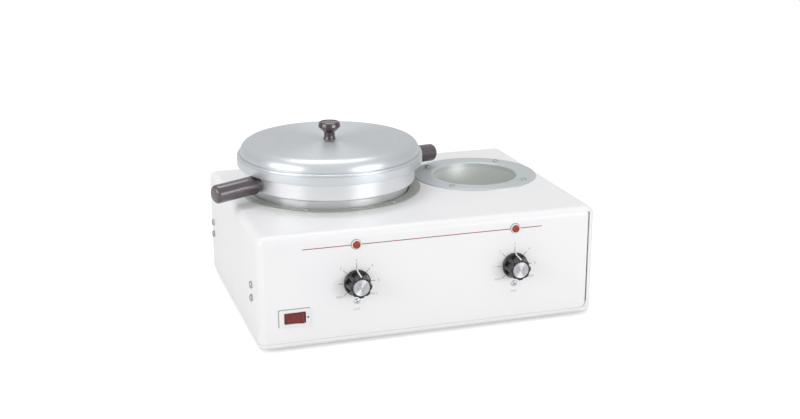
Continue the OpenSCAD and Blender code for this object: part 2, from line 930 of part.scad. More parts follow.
// The switch's bezel and case, open at the front for the rocker
module switch_case() {
    corner = 1.4;
    bezel_edge = 0.5;
    mouth_w = 2 * (rocker_r + rocker_side_gap) - 1.4;
    mouth_h = rocker_h + 2 * rocker_side_gap;
    pin_seat = mouth_h + 2.1;
    color([0.93, 0.93, 0.94])
    placed()
    translate([switch_x, front_y, switch_z])
        difference() {
            union() {
                rotate([90, 0, 0]) {
                    linear_extrude(bezel_t - bezel_edge) rounded_plate(bezel_w, bezel_h, corner);
                    linear_extrude(bezel_t)
                        rounded_plate(bezel_w - 2 * bezel_edge, bezel_h - 2 * bezel_edge, corner - 0.3);
                }
                translate([-case_w / 2, 0, -case_h / 2]) cube([case_w, case_depth, case_h]);
            }
            translate([-mouth_w / 2, -5, -mouth_h / 2]) cube([mouth_w, 5 + rocker_in, mouth_h]);
            translate([0, rocker_in, 0]) cylinder(r = rocker_r + rocker_side_gap, h = mouth_h, center = true);
            translate([0, rocker_in, 0])
                cylinder(r = rocker_pin_r + running_gap, h = pin_seat, center = true, $fn = 32);
        }
}

module rounded_plate(w, h, r) {
    square([w - 2 * r, h], center = true);
    square([w, h - 2 * r], center = true);
    for (sx = [-1, 1], sy = [-1, 1])
        translate([sx * (w / 2 - r), sy * (h / 2 - r)]) circle(r = r, $fn = 32);
}

// The rocker: a shallow V on top, round ends that clear the case, and two side pins
module switch_rocker() {
    peak = 6.4;
    dip = 4.6;
    pin_l = rocker_h + 2 * rocker_side_gap + 1.9;
    reach = sqrt(rocker_r * rocker_r - peak * peak);
    color([0.6, 0.2, 0.17])
    placed()
    translate([switch_x, front_y + rocker_in, switch_z])
        rotate([0, 0, -rocker_lean]) {
            translate([0, 0, -rocker_h / 2])
                linear_extrude(rocker_h)
                    intersection() {
                        circle(r = rocker_r);
                        polygon([
                            [-reach, -peak], [-reach * 0.3, -dip], [reach * 0.3, -dip], [reach, -peak],
                            [reach + 3, -peak], [reach + 3, 3], [-reach - 3, 3], [-reach - 3, -peak]
                        ]);
                    }
            cylinder(r = rocker_pin_r, h = pin_l, center = true, $fn = 32);
        }
}

module switch_terminals() {
    color([0.8, 0.66, 0.4])
    placed()
    for (i = [-1 : 1])
        translate([switch_x + i * tab_pitch - tab_t / 2, front_y + case_depth, switch_z - tab_h / 2])
            cube([tab_t, tab_l, tab_h]);
}

module terminal_block() {
    color([0.85, 0.84, 0.8])
    placed()
    difference() {
        translate([cord_x - block_w / 2, block_y - block_d / 2, tray_z + sheet_t])
            cube([block_w, block_d, block_h]);
        for (i = [-1 : 1])
            translate([cord_x + i * terminal_pitch, block_y, block_top_z - 8])
                cylinder(r = screw_hole_r, h = cut_l);
    }
}

module terminal_screws() {
    color([0.8, 0.68, 0.4])
    placed()
    for (i = [-1 : 1])
        translate([cord_x + i * terminal_pitch, block_y, block_top_z])
            pan_screw(pan_r, pan_h, screw_r, 7);
}

// The loom's main wires: block to switch, switch to the left thermostat, and on to the right one
module wiring() {
    block_front_y = block_y - block_d / 2;
    tab_y = front_y + case_depth + tab_l;
    turn_y = shield_y + 14;
    block_wire_x = cord_x - terminal_pitch;
    in_x = switch_x + tab_pitch;
    out_x = switch_x - tab_pitch;
    low_z = switch_z - 14;
    stat_low_z = dial_z - 10;
    stat_high_z = dial_z + 6;
    stat_in_x = left_dial_x + 10;
    color([0.25, 0.3, 0.55])
    placed() {
        run_of_tube([
            [block_wire_x, block_front_y, wire_z], [block_wire_x, turn_y, wire_z], [in_x, turn_y, wire_z],
            [in_x, turn_y, switch_z], [in_x, tab_y, switch_z]
        ], wire_r);
        run_of_tube([
            [out_x, tab_y, switch_z], [out_x, tab_y + 5, switch_z], [out_x, tab_y + 5, low_z],
            [stat_in_x, tab_y + 5, low_z], [stat_in_x, tab_y + 5, stat_low_z],
            [stat_in_x, stat_wire_y, stat_low_z]
        ], wire_r);
        run_of_tube([
            [left_dial_x + 12, stat_wire_y, stat_high_z], [left_dial_x + 12, stat_wire_y + 8, stat_high_z],
            [right_dial_x - 12, stat_wire_y + 8, stat_high_z], [right_dial_x - 12, stat_wire_y, stat_high_z]
        ], wire_r);
    }
}

// A snap-in bushing lines the cord's hole in the rear wall
module cord_bushing() {
    inside = 9;
    color([0.1, 0.1, 0.11])
    placed()
    translate([cord_x, body_d / 2, bushing_z])
        rotate([-90, 0, 0])
            rotate_extrude()
                polygon([
                    [bushing_bore_r, -inside], [bushing_r - 0.6, -inside], [bushing_r, -inside + 1],
                    [bushing_r, -sheet_t - 0.2], [bushing_r, 0], [bushing_flange_r, 0],
                    [bushing_flange_r, bushing_flange_t - 0.9], [bushing_flange_r - 1.2, bushing_flange_t],
                    [bushing_bore_r, bushing_flange_t]
                ]);
}

// Pot and lid

// The pot: a lower part that fits the well, a shoulder, a wide body and a rolled rim
module pot() {
    inner_r = pot_body_r - pot_t;
    lower_in = pot_lower_r - pot_t;
    color([0.8, 0.81, 0.82])
    placed()
    translate([left_x, wells_back, 0])
        difference() {
            rotate_extrude($fn = 128)
                polygon(concat(
                    [[0, pot_base_z]],
                    arc(pot_lower_r - pot_corner_r, pot_base_z + pot_corner_r, pot_corner_r, -90, 0, 5),
                    [[pot_lower_r, shoulder_z]],
                    arc(pot_body_r - pot_shoulder_r, shoulder_z + pot_shoulder_r, pot_shoulder_r, -90, 0, 5),
                    arc(bead_x, bead_z, rim_bead_r, -acos((pot_body_r - bead_x) / rim_bead_r), 180, 16),
                    arc(inner_r - pot_shoulder_r + pot_t, shoulder_z + pot_shoulder_r,
                        pot_shoulder_r - pot_t, 0, -90, 4),
                    [[lower_in, shoulder_z + pot_t]],
                    arc(lower_in - pot_corner_r + pot_t, pot_base_z + pot_corner_r,
                        pot_corner_r - pot_t, 0, -90, 5),
                    [[0, pot_base_z + pot_t]]
                ));
            for (turn = [180, 0])
                handle_axis(turn) translate([0, 0, pot_body_r - 10]) cylinder(r = stud_r + 0.1, h = 20);
        }
}

// A moulded grip with domed ends and a bore for its stud
module handle_grip() {
    rotate_extrude()
        polygon(concat(
            [[stud_r + 0.05, 0], [handle_r - handle_foot_round, 0]],
            arc(handle_r - handle_foot_round, handle_foot_round, handle_foot_round, -90, 0, 5),
            arc(handle_r - handle_round, handle_len - handle_round, handle_round, 0, 70, 5),
            [[0, handle_len], [0, stud_depth], [stud_r + 0.05, stud_depth]]
        ));
}

// Lays children along a handle's axis, which passes the pot's wall at Z = pot_body_r
module handle_axis(turn) {
    rotate([0, 0, turn + handle_turn])
        translate([pot_body_r, 0, handle_z])
            rotate([0, 90 + handle_droop, 0])
                translate([0, 0, -pot_body_r]) children();
}

module on_pot_side(turn) {
    placed()
    translate([left_x, wells_back, 0]) handle_axis(turn) children();
}

module left_handle() {
    color([0.3, 0.24, 0.27])
    on_pot_side(180) translate([0, 0, handle_foot]) handle_grip();
}

module right_handle() {
    color([0.3, 0.24, 0.27])
    on_pot_side(0) translate([0, 0, handle_foot]) handle_grip();
}

// A stud runs from its head inside the pot into each grip
module handle_studs() {
    color([0.7, 0.71, 0.72])
    for (turn = [180, 0])
        on_pot_side(turn)
            translate([0, 0, pot_body_r - pot_t - stud_seat])
                rotate([180, 0, 0])
                    pan_screw(4.2, 1.8, stud_r, pot_t + stud_seat + handle_gap + stud_depth - 1);
}

// A ferrule between the pot's curved wall and each grip's flat foot
module handle_ferrules() {
    ferrule_r = 5.6;
    color([0.72, 0.73, 0.74])
    for (turn = [180, 0])
        difference() {
            on_pot_side(turn)
                translate([0, 0, pot_body_r - 1])
                    difference() {
                        cylinder(r = ferrule_r, h = handle_foot - pot_body_r + 1);
                        translate([0, 0, -1]) cylinder(r = stud_r + 0.05, h = 20);
                    }
            placed()
            translate([left_x, wells_back, 0]) cylinder(r = pot_body_r + 0.02, h = rim_z, $fn = 720);
        }
}

// The lid: a low crown, a round shoulder, a ledge that seats on the rim and a grooved skirt
module lid() {
    crown = 0.4;
    shoulder_x = lid_wall_r - lid_shoulder_r;
    shoulder_up = lid_top_z - crown - lid_shoulder_r;
    step_z = ledge_z + lid_t;
    hem_z = ledge_z - skirt_drop;
    groove_z = step_z - 2.2;
    skirt_in = lid_skirt_r - skirt_t;
    color([0.82, 0.83, 0.84])
    placed()
    translate([left_x, wells_back, 0])
        difference() {
            rotate_extrude($fn = 128)
                polygon(concat(
                    [[0, lid_top_z]],
                    arc(shoulder_x, shoulder_up, lid_shoulder_r, 90, 4, 8),
                    [[lid_wall_r, step_z + 0.3], [lid_wall_r + 0.7, step_z]],
                    arc(lid_skirt_r - 1.4, step_z - 1.2, 1.2, 90, 0, 4),
                    [[lid_skirt_r - 0.2, groove_z + 0.5], [lid_skirt_r - groove_depth, groove_z]],
                    [[lid_skirt_r, groove_z - 0.5]],
                    arc(lid_skirt_r - 1.5, hem_z + 1.9, 1.5, 0, -60, 4),
                    [[lid_skirt_r - 1.2, hem_z], [skirt_in, hem_z]],
                    [[skirt_in, ledge_z], [lid_wall_r - lid_t, ledge_z]],
                    arc(shoulder_x, shoulder_up, lid_shoulder_r - lid_t, 0, 90, 8),
                    [[0, lid_top_z - lid_t]]
                ));
            translate([0, 0, lid_top_z - 5]) cylinder(r = lid_screw_r + 0.2, h = 10);
        }
}

// A mushroom knob with a flared foot
module lid_knob() {
    h = lid_knob_h;
    color([0.24, 0.18, 0.21])
    placed()
    translate([left_x, wells_back, lid_top_z])
        rotate_extrude()
            polygon(concat(
                [[lid_screw_r + 0.05, 0], [8, 0], [8, 1.1]],
                arc(11.6, 5.4, 6, 215, 130, 6),
                [[10.9, h - 7.4], [11.9, h - 6]],
                arc(9.9, h - 3.2, 2, 0, 60, 4),
                [[9.6, h - 0.3], [9.2, h], [8.6, h], [8.2, h - 0.5], [0, h - 0.3]],
                [[0, 12], [lid_screw_r + 0.05, 12]]
            ));
}

module lid_screw() {
    color([0.7, 0.71, 0.72])
    placed()
    translate([left_x, wells_back, lid_top_z - lid_t - 0.05])
        rotate([180, 0, 0]) pan_screw(4.5, 2, lid_screw_r, lid_t + 11);
}

hood();
base_tray();
corner_brackets();
side_screws();
rubber_feet();
foot_screws();
left_well();
right_well();
left_well_screws();
right_well_screws();
left_heater_band();
right_heater_band();
heater_clamp_bolts();
left_insulation();
right_insulation();
heat_shield();
shield_screws();
left_thermostat();
right_thermostat();
left_sensor();
right_sensor();
sensor_clips();
dial_screws();
left_dial_knob();
right_dial_knob();
left_knob_cap();
right_knob_cap();
left_spindle();
right_spindle();
left_lamp_body();
right_lamp_body();
left_lamp_lens();
right_lamp_lens();
switch_case();
switch_rocker();
switch_terminals();
terminal_block();
terminal_screws();
wiring();
cord_bushing();
pot();
left_handle();
right_handle();
handle_studs();
handle_ferrules();
lid();
lid_knob();
lid_screw();
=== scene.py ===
"""Studio scene of a white double wax warmer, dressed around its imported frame.

The frame gives every node in metres. Sizes in this file are in millimetres, and heights are
counted from the surface that the warmer stands on.
"""

import logging
import math
from dataclasses import dataclass
from enum import Enum
from functools import cache
from typing import Callable, Iterable, Sequence

import bmesh
import bpy
from mathutils import Euler, Matrix, Vector


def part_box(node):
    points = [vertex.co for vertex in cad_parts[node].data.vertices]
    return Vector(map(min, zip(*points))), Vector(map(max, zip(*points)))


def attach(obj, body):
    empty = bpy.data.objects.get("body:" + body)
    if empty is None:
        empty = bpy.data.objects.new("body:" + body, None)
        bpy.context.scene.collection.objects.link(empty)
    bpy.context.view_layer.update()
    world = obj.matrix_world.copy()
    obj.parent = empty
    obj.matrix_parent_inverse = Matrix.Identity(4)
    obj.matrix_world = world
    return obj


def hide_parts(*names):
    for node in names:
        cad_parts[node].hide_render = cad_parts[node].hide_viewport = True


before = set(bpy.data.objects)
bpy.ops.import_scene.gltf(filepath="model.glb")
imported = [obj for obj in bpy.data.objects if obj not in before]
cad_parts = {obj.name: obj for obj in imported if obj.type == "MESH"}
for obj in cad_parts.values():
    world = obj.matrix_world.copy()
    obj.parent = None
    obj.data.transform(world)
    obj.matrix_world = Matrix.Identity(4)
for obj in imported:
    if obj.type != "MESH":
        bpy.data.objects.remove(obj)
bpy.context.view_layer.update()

MM = 0.001
TINY = 1e-6
SHARP_EDGE = math.radians(32)
NOISE_BAND = (0.35, 0.65)  # the range that most of a noise's values fall in
CAPITAL_SHARE = 0.69  # a capital's height, as a share of the lettering's size
THINNING = 0.03  # taken off the letters' strokes, as a share of a capital's height
LOG = logging.getLogger("wax_warmer")

Outline = list[tuple[float, float]]
Socket = bpy.types.NodeSocket
Value = Socket | float | tuple[float, ...]
Colour = tuple[float, float, float]


# Outlines and meshes


@dataclass(frozen=True)
class Knot:
    """A corner of an outline, with the radius and the steps of its rounding."""

    across: float
    up: float
    radius: float = 0.0
    steps: int = 5


def rounded(knots: Sequence[Knot]) -> Outline:
    """Rounds the inner corners of an open outline with true arcs.

    Args:
        knots: The outline's corners in order; the first and the last stay sharp.

    Returns:
        The outline's points.
    """
    outline: Outline = [(knots[0].across, knots[0].up)]
    for before, knot, after in zip(knots, knots[1:], knots[2:]):
        here = Vector((knot.across, knot.up))
        if knot.radius == 0:
            outline.append((here.x, here.y))
            continue
        back = (Vector((before.across, before.up)) - here).normalized()
        on = (Vector((after.across, after.up)) - here).normalized()
        half = math.acos(max(-1.0, min(1.0, back.dot(on)))) / 2
        centre = here + (back + on).normalized() * (knot.radius / math.sin(half))
        reach = knot.radius / math.tan(half)
        start, end = here + back * reach - centre, here + on * reach - centre
        sweep = math.atan2(start.x * end.y - start.y * end.x, start.dot(end))
        first = math.atan2(start.y, start.x)
        outline += arc(centre.x, centre.y, knot.radius, math.degrees(first),
                       math.degrees(first + sweep), knot.steps)
    outline.append((knots[-1].across, knots[-1].up))
    return outline


def arc(across: float, up: float, radius: float, start: float, end: float, steps: int = 6
        ) -> Outline:
    """Points along an arc, both ends included.

    Args:
        across: The centre's distance from the axis.
        up: The centre's height.
        radius: The arc's radius.
        start: The first angle in degrees.
        end: The last angle in degrees.
        steps: How many equal parts the arc has.

    Returns:
        The arc's points.
    """
    angles = [math.radians(start + (end - start) * step / steps) for step in range(steps + 1)]
    return [(across + radius * math.cos(a), up + radius * math.sin(a)) for a in angles]


def finished(mesh: bmesh.types.BMesh, name: str) -> bpy.types.Object:
    """Turns a mesh in the making into an object with smooth faces and crisp edges.

    Args:
        mesh: The mesh, which is used up.
        name: The piece's name.

    Returns:
        The new piece.
    """
    bmesh.ops.recalc_face_normals(mesh, faces=mesh.faces)
    data = bpy.data.meshes.new(name)
    mesh.to_mesh(data)
    mesh.free()
    data.shade_smooth()
    data.set_sharp_from_angle(angle=SHARP_EDGE)
    piece = bpy.data.objects.new(name, data)
    bpy.context.scene.collection.objects.link(piece)
    return piece


def bridge(mesh: bmesh.types.BMesh, low: Sequence[bmesh.types.BMVert],
           high: Sequence[bmesh.types.BMVert]) -> None:
    """Joins two rings of as many vertices with a band of faces.

    Args:
        mesh: The mesh that gets the faces.
        low: The first ring.
        high: The second ring.
    """
    for i in range(len(low)):
        j = (i + 1) % len(low)
        corners = list(dict.fromkeys((low[i], low[j], high[j], high[i])))
        if len(corners) > 2:
            mesh.faces.new(corners)


def lathe(name: str, outline: Outline, segments: int = 144, closed: bool = False,
          shape: Callable[[float, float, float], float] | None = None) -> bpy.types.Object:
    """Turns an outline round its local Z axis.

    Args:
        name: The piece's name.
        outline: Distances from the axis and heights in millimetres.
        segments: Faces round the axis.
        closed: Whether the outline's end joins its start, as on a ring.
        shape: Gives the radius for a distance, a height and an angle, where it isn't round.

    Returns:
        The turned piece.
    """
    mesh = bmesh.new()
    angles = [2 * math.pi * i / segments for i in range(segments)]
    rings = []
    for across, up in outline:
        if across < TINY:
            rings.append([mesh.verts.new((0, 0, up * MM))] * segments)
            continue
        reaches = [(shape(across, up, a) if shape else across) * MM for a in angles]
        rings.append([mesh.verts.new((reach * math.cos(a), reach * math.sin(a), up * MM))
                      for reach, a in zip(reaches, angles)])
    for low, high in zip(rings, rings[1:] + (rings[:1] if closed else [])):
        bridge(mesh, low, high)
    return finished(mesh, name)


def prism(name: str, outline: Outline, low: float, high: float, taper: float = 1.0,
          bevel: float = 0.0) -> bpy.types.Object:
    """Extrudes a flat outline along its local Z axis.

    Args:
        name: The piece's name.
        outline: The outline's points in millimetres, in order round it.
        low: Height of the first face.
        high: Height of the last face.
        taper: Size of the first face, as a share of the last one.
        bevel: Width of the rounding on the edges that the extrusion makes.

    Returns:
        The extruded piece.
    """
    mesh = bmesh.new()
    rings = [[mesh.verts.new((x * share * MM, y * share * MM, z * MM)) for x, y in outline]
             for z, share in ((low, taper), (high, 1.0))]
    bridge(mesh, *rings)
    for ring in rings:
        mesh.faces.new(ring)
    if bevel:
        rims = [e for e in mesh.edges if abs(e.verts[0].co.z - e.verts[1].co.z) < TINY]
        bmesh.ops.bevel(mesh, geom=rims, offset=bevel * MM, segments=3, profile=0.5, affect="EDGES")
    return finished(mesh, name)


def loft(name: str, rings: Sequence[Sequence[Vector]], capped: bool = True) -> bpy.types.Object:
    """Joins rings of points into one skin.

    Args:
        name: The piece's name.
        rings: Rings of as many points each, in millimetres.
        capped: Whether the first and the last ring get a face. If not, they are joined.

    Returns:
        The lofted piece.
    """
    mesh = bmesh.new()
    made = [[mesh.verts.new(point * MM) for point in ring] for ring in rings]
    for low, high in zip(made, made[1:]):
        bridge(mesh, low, high)
    if not capped:
        bridge(mesh, made[-1], made[0])
    else:
        mesh.faces.new(made[0])
        mesh.faces.new(made[-1])
    return finished(mesh, name)


def settled(piece: bpy.types.Object) -> bpy.types.Mesh:
    """Gives a piece's mesh with its modifiers or its lettering worked out."""
    return bpy.data.meshes.new_from_object(
        piece.evaluated_get(bpy.context.evaluated_depsgraph_get()))


def carve(body: bpy.types.Object, cutter: bpy.types.Object) -> bpy.types.Object:
    """Cuts one piece's shape out of another for good.

    Args:
        body: The piece that is cut.
        cutter: The shape that is taken away; it is removed.

    Returns:
        The cut piece.
    """
    cut = body.modifiers.new("cut", "BOOLEAN")
    cut.operation, cut.solver, cut.object = "DIFFERENCE", "EXACT", cutter
    shaped = settled(body)
    body.modifiers.clear()
    body.data = shaped
    bpy.data.objects.remove(cutter)
    shaped.set_sharp_from_angle(angle=SHARP_EDGE)
    return body


def paste(mesh: bmesh.types.BMesh, data: bpy.types.Mesh, place: Matrix) -> None:
    """Adds a copy of a finished mesh to one in the making.

    Args:
        mesh: The mesh that gets the copy.
        data: The mesh to copy.
        place: Where the copy goes.
    """
    kept = len(mesh.verts)
    mesh.from_mesh(data)
    mesh.verts.ensure_lookup_table()
    bmesh.ops.transform(mesh, matrix=place, verts=mesh.verts[kept:])


def scatter(name: str, template: bpy.types.Object, places: Iterable[Matrix]) -> bpy.types.Object:
    """Copies a template to several places as one piece.

    Args:
        name: The new piece's name.
        template: The piece to copy; it is removed.
        places: One matrix for each copy.

    Returns:
        The piece that holds all the copies.
    """
    mesh = bmesh.new()
    for place in places:
        paste(mesh, template.data, place)
    bpy.data.objects.remove(template)
    return finished(mesh, name)


class Turn(Enum):
    """The way that a piece's own Z axis points on the object, as an Euler turn in degrees."""

    UP = (0.0, 0.0, 0.0)
    FRONT = (90.0, 0.0, 0.0)
    LEFT = (0.0, -90.0, 0.0)
    RIGHT = (0.0, 90.0, 0.0)


def spot(where: Sequence[float], turn: Turn = Turn.UP, spin: float = 0.0) -> Matrix:
    """A place on the object.

    Args:
        where: The place in millimetres.
        turn: The way that the piece's own Z axis points.
        spin: A turn about that axis in degrees.

    Returns:
        The matrix that puts a piece there.
    """
    facing = Euler([math.radians(a) for a in turn.value]).to_matrix().to_4x4()
    own = Matrix.Rotation(math.radians(spin), 4, "Z")
    return Matrix.Translation(Vector(where) * MM) @ facing @ own


@dataclass(frozen=True)
class Extent:
    """A CAD node's box at rest, in millimetres."""

    low: Vector
    high: Vector

    @classmethod
    def of(cls, node: str) -> "Extent":
        """Reads a node's box from the frame."""
        low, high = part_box(node)
        return cls(low / MM, high / MM)

    @property
    def middle(self) -> Vector:
        """The box's centre."""
        return (self.low + self.high) / 2

    @property
    def size(self) -> Vector:
        """The box's three lengths."""
        return self.high - self.low


def on_panel(x: float, z: float, out: float = 0.0, spin: float = 0.0) -> Matrix:
    """A place on the front panel, with the piece's own Z axis pointing out of it.

    Args:
        x: The place across.
        z: Its height.
        out: How far it stands out of the panel.
        spin: A turn about the piece's own axis in degrees.

    Returns:
        The matrix that puts a piece there.
    """
    return spot((x, Extent.of("hood").low.y - out, z), Turn.FRONT, spin)


# Shader wiring


class Graph:
    """Short calls for wiring one node tree."""

    def __init__(self, tree: bpy.types.NodeTree) -> None:
        """Keeps the tree that the calls add to."""
        self.tree = tree

    def node(self, kind: str, **settings: object) -> bpy.types.Node:
        """Adds a node.

        Args:
            kind: Blender's name of its type.
            settings: Values for its properties.

        Returns:
            The node.
        """
        made = self.tree.nodes.new(kind)
        for name, value in settings.items():
            setattr(made, name, value)
        return made

    def feed(self, target: Socket, source: Value) -> None:
        """Links a socket to its source, or sets a constant on it.

        Args:
            target: The socket that gets the value.
            source: Another socket, or a number or colour.
        """
        if isinstance(source, bpy.types.NodeSocket):
            self.tree.links.new(source, target)
        else:
            target.default_value = source

    def math(self, operation: str, first: Value, second: Value = 0.0) -> Socket:
        """Adds a Math node.

        Args:
            operation: Blender's name of the operation.
            first: The first operand.
            second: The second operand.

        Returns:
            The result's socket.
        """
        made = self.node("ShaderNodeMath", operation=operation)
        for socket, value in zip(made.inputs, (first, second)):
            self.feed(socket, value)
        return made.outputs[0]

    def axes(self, place: Socket) -> Sequence[Socket]:
        """Splits a vector.

        Args:
            place: The vector's socket.

        Returns:
            The sockets of its X, Y and Z.
        """
        apart = self.node("ShaderNodeSeparateXYZ")
        self.feed(apart.inputs[0], place)
        return apart.outputs

    def noise(self, place: Socket, scale: float | Socket, detail: float = 2.0) -> Socket:
        """Adds a noise texture.

        Args:
            place: The point to read it at.
            scale: Its scale.
            detail: Its number of octaves.

        Returns:
            The socket of its value.
        """
        made = self.node("ShaderNodeTexNoise")
        self.feed(made.inputs["Vector"], place)
        self.feed(made.inputs["Scale"], scale)
        made.inputs["Detail"].default_value = detail
        return made.outputs["Fac"]

    def drawn_out(self, place: Socket, along: float) -> Socket:
        """Scales a place along Z, which draws its noise out or squeezes it.

        Args:
            place: The point's socket.
            along: The scale; below 1 it draws out.

        Returns:
            The socket of the scaled point.
        """
        made = self.node("ShaderNodeMapping")
        self.feed(made.inputs["Vector"], place)
        made.inputs["Scale"].default_value = (1.0, 1.0, along)
        return made.outputs[0]

    def remap(self, value: Socket, low: float, high: float, to_low: float, to_high: float
              ) -> Socket:
        """Maps a range of values to another one, clamped.

        Args:
            value: The value to map.
            low: The value that gives to_low.
            high: The value that gives to_high.
            to_low: The result at low.
            to_high: The result at high.

        Returns:
            The result's socket.
        """
        made = self.node("ShaderNodeMapRange")
        for socket, source in zip(made.inputs, (value, low, high, to_low, to_high)):
            self.feed(socket, source)
        return made.outputs[0]

    def blend(self, mask: Value, first: Value, second: Value) -> Socket:
        """Mixes two colours.

        Args:
            mask: The second colour's share.
            first: The colour where the mask is 0.
            second: The colour where the mask is 1.

        Returns:
            The socket of the mixed colour.
        """
        made = self.node("ShaderNodeMix", data_type="RGBA")
        self.feed(made.inputs["Factor"], mask)
        colours = [s for s in made.inputs if s.type == "RGBA"]
        for socket, source in zip(colours, (first, second)):
            self.feed(socket, (*source, 1.0) if isinstance(source, tuple) else source)
        return next(s for s in made.outputs if s.type == "RGBA")

    def bump(self, height: Socket, strength: float, depth: float) -> Socket:
        """Turns a height into a normal.

        Args:
            height: The height's socket.
            strength: The bump's strength.
            depth: The relief's depth in millimetres.

        Returns:
            The normal's socket.
        """
        made = self.node("ShaderNodeBump")
        made.inputs["Strength"].default_value = strength
        made.inputs["Distance"].default_value = depth * MM
        self.feed(made.inputs["Height"], height)
        return made.outputs["Normal"]

    def effect(self, group: bpy.types.NodeTree, **inputs: Value) -> Sequence[Socket]:
        """Places an effect group.

        Args:
            group: The group.
            inputs: Values for its inputs.

        Returns:
            Its output sockets.
        """
        made = self.node("ShaderNodeGroup", node_tree=group)
        for name, value in inputs.items():
            self.feed(made.inputs[name], value)
        return made.outputs


def new_effect(name: str, inputs: dict[str, float], outputs: Sequence[str]
               ) -> tuple[bpy.types.NodeTree, Graph, bpy.types.Node, bpy.types.Node]:
    """Starts an effect group that reads a place on the surface.

    Args:
        name: The group's name.
        inputs: Its number inputs and their defaults.
        outputs: Its number outputs.

    Returns:
        The group, its graph, and its input and output nodes.
    """
    group = bpy.data.node_groups.new(name, "ShaderNodeTree")
    group.interface.new_socket("Place", in_out="INPUT", socket_type="NodeSocketVector")
    for label, default in inputs.items():
        made = group.interface.new_socket(label, in_out="INPUT", socket_type="NodeSocketFloat")
        made.default_value = default
    for label in outputs:
        group.interface.new_socket(label, in_out="OUTPUT", socket_type="NodeSocketFloat")
    graph = Graph(group)
    return group, graph, graph.node("NodeGroupInput"), graph.node("NodeGroupOutput")


@cache
def turned_grain() -> bpy.types.NodeTree:
    """Fine rings round the Z axis, as a lathe or a spinning brush leaves them.

    Returns:
        The group, with a height and a tone.
    """
    group, graph, given, result = new_effect("turned_grain", {"Fineness": 900.0, "Arc": 1.5},
                                             ("Height", "Tone"))
    least_radius, tone_scale = 0.0005, 0.13
    x, y, z = graph.axes(given.outputs["Place"])
    squares = (graph.math("MULTIPLY", x, x), graph.math("MULTIPLY", y, y))
    radius = graph.math("SQRT", graph.math("ADD", *squares))
    along = graph.math("MULTIPLY", graph.math("ADD", radius, z), given.outputs["Fineness"])
    safe = graph.math("MAXIMUM", radius, least_radius)
    join = graph.node("ShaderNodeCombineXYZ")
    graph.feed(join.inputs[0], along)
    for target, axis in zip(join.inputs[1:], (x, y)):
        share = graph.math("DIVIDE", axis, safe)
        graph.feed(target, graph.math("MULTIPLY", share, given.outputs["Arc"]))
    graph.feed(result.inputs["Height"], graph.noise(join.outputs[0], scale=1.0, detail=3.0))
    graph.feed(result.inputs["Tone"], graph.noise(join.outputs[0], tone_scale))
    return group


@cache
def surface_peel() -> bpy.types.NodeTree:
    """The soft unevenness of a sprayed or moulded surface.

    Returns:
        The group, with a height and a fine fleck.
    """
    group, graph, given, result = new_effect("surface_peel", {"Fineness": 400.0},
                                             ("Height", "Fleck"))
    fleck_finer = 3.7
    place, fineness = given.outputs["Place"], given.outputs["Fineness"]
    graph.feed(result.inputs["Height"], graph.noise(place, fineness, detail=1.0))
    finer = graph.math("MULTIPLY", fineness, fleck_finer)
    graph.feed(result.inputs["Fleck"], graph.noise(place, finer, detail=0.0))
    return group


@cache
def handling_marks() -> bpy.types.NodeTree:
    """Broad soft patches where hands and cloths have dulled a surface.

    Returns:
        The group, with a mask.
    """
    group, graph, given, result = new_effect("handling_marks", {"Scale": 18.0, "Spread": 0.5},
                                             ("Mask",))
    rarest, widening, full = 0.75, 0.4, 0.8
    cloud = graph.noise(given.outputs["Place"], given.outputs["Scale"], detail=3.0)
    made = graph.node("ShaderNodeMapRange", interpolation_type="SMOOTHSTEP")
    wider = graph.math("MULTIPLY", given.outputs["Spread"], widening)
    start = graph.math("SUBTRACT", rarest, wider)
    for target, source in zip(made.inputs, (cloud, start, full)):
        graph.feed(target, source)
    graph.feed(result.inputs["Mask"], made.outputs[0])
    return group


# Finishes


def shade(code: str) -> Colour:
    """Turns a screen colour in hexadecimal into linear values."""
    parts = [int(code[i:i + 2], 16) / 255 for i in (0, 2, 4)]
    return tuple(p / 12.92 if p <= 0.04045 else ((p + 0.055) / 1.055) ** 2.4 for p in parts)


class Surface(Graph):
    """The graph of a new material, with its Principled shader."""

    def __init__(self, name: str) -> None:
        """Makes the material.

        Args:
            name: Its name.
        """
        self.material = bpy.data.materials.new(name)
        self.material.use_nodes = True
        super().__init__(self.material.node_tree)
        self.shader = next(n for n in self.tree.nodes if n.type == "BSDF_PRINCIPLED")
        self.place = self.node("ShaderNodeTexCoord").outputs["Object"]

    def set(self, **values: Value) -> None:
        """Feeds the shader's sockets; in their names an underscore stands for a space."""
        for name, value in values.items():
            self.feed(self.shader.inputs[name.replace("_", " ")], value)

    def tint(self, mask: Socket, first: str, second: str) -> None:
        """Feeds the colour, as a mask mixes it from two screen colours."""
        self.set(Base_Color=self.blend(mask, shade(first), shade(second)))

    def roughen(self, mask: Socket, least: float, spread: float) -> None:
        """Feeds the roughness, which a mask raises from its least value by the spread."""
        self.set(Roughness=self.remap(mask, 0.0, 1.0, least, least + spread))

    def peel(self, fineness: float) -> Sequence[Socket]:
        """Places a fine unevenness and returns its height and its fleck."""
        return self.effect(surface_peel(), Place=self.place, Fineness=fineness)

    def marks(self, scale: float, spread: float) -> Socket:
        """Places the dulled patches and returns their mask."""
        return self.effect(handling_marks(), Place=self.place, Scale=scale, Spread=spread)[0]


class Finish:
    """What every kind of finish shares."""

    def build(self, name: str) -> bpy.types.Material:
        """Makes the material.

        Args:
            name: Its name.

        Returns:
            The material.
        """
        surface = Surface(name)
        self.wire(surface)
        return surface.material

    def wire(self, surface: Surface) -> None:
        """Wires the shader, each kind of finish in its own way.

        Args:
            surface: The material in the making.
        """
        raise NotImplementedError


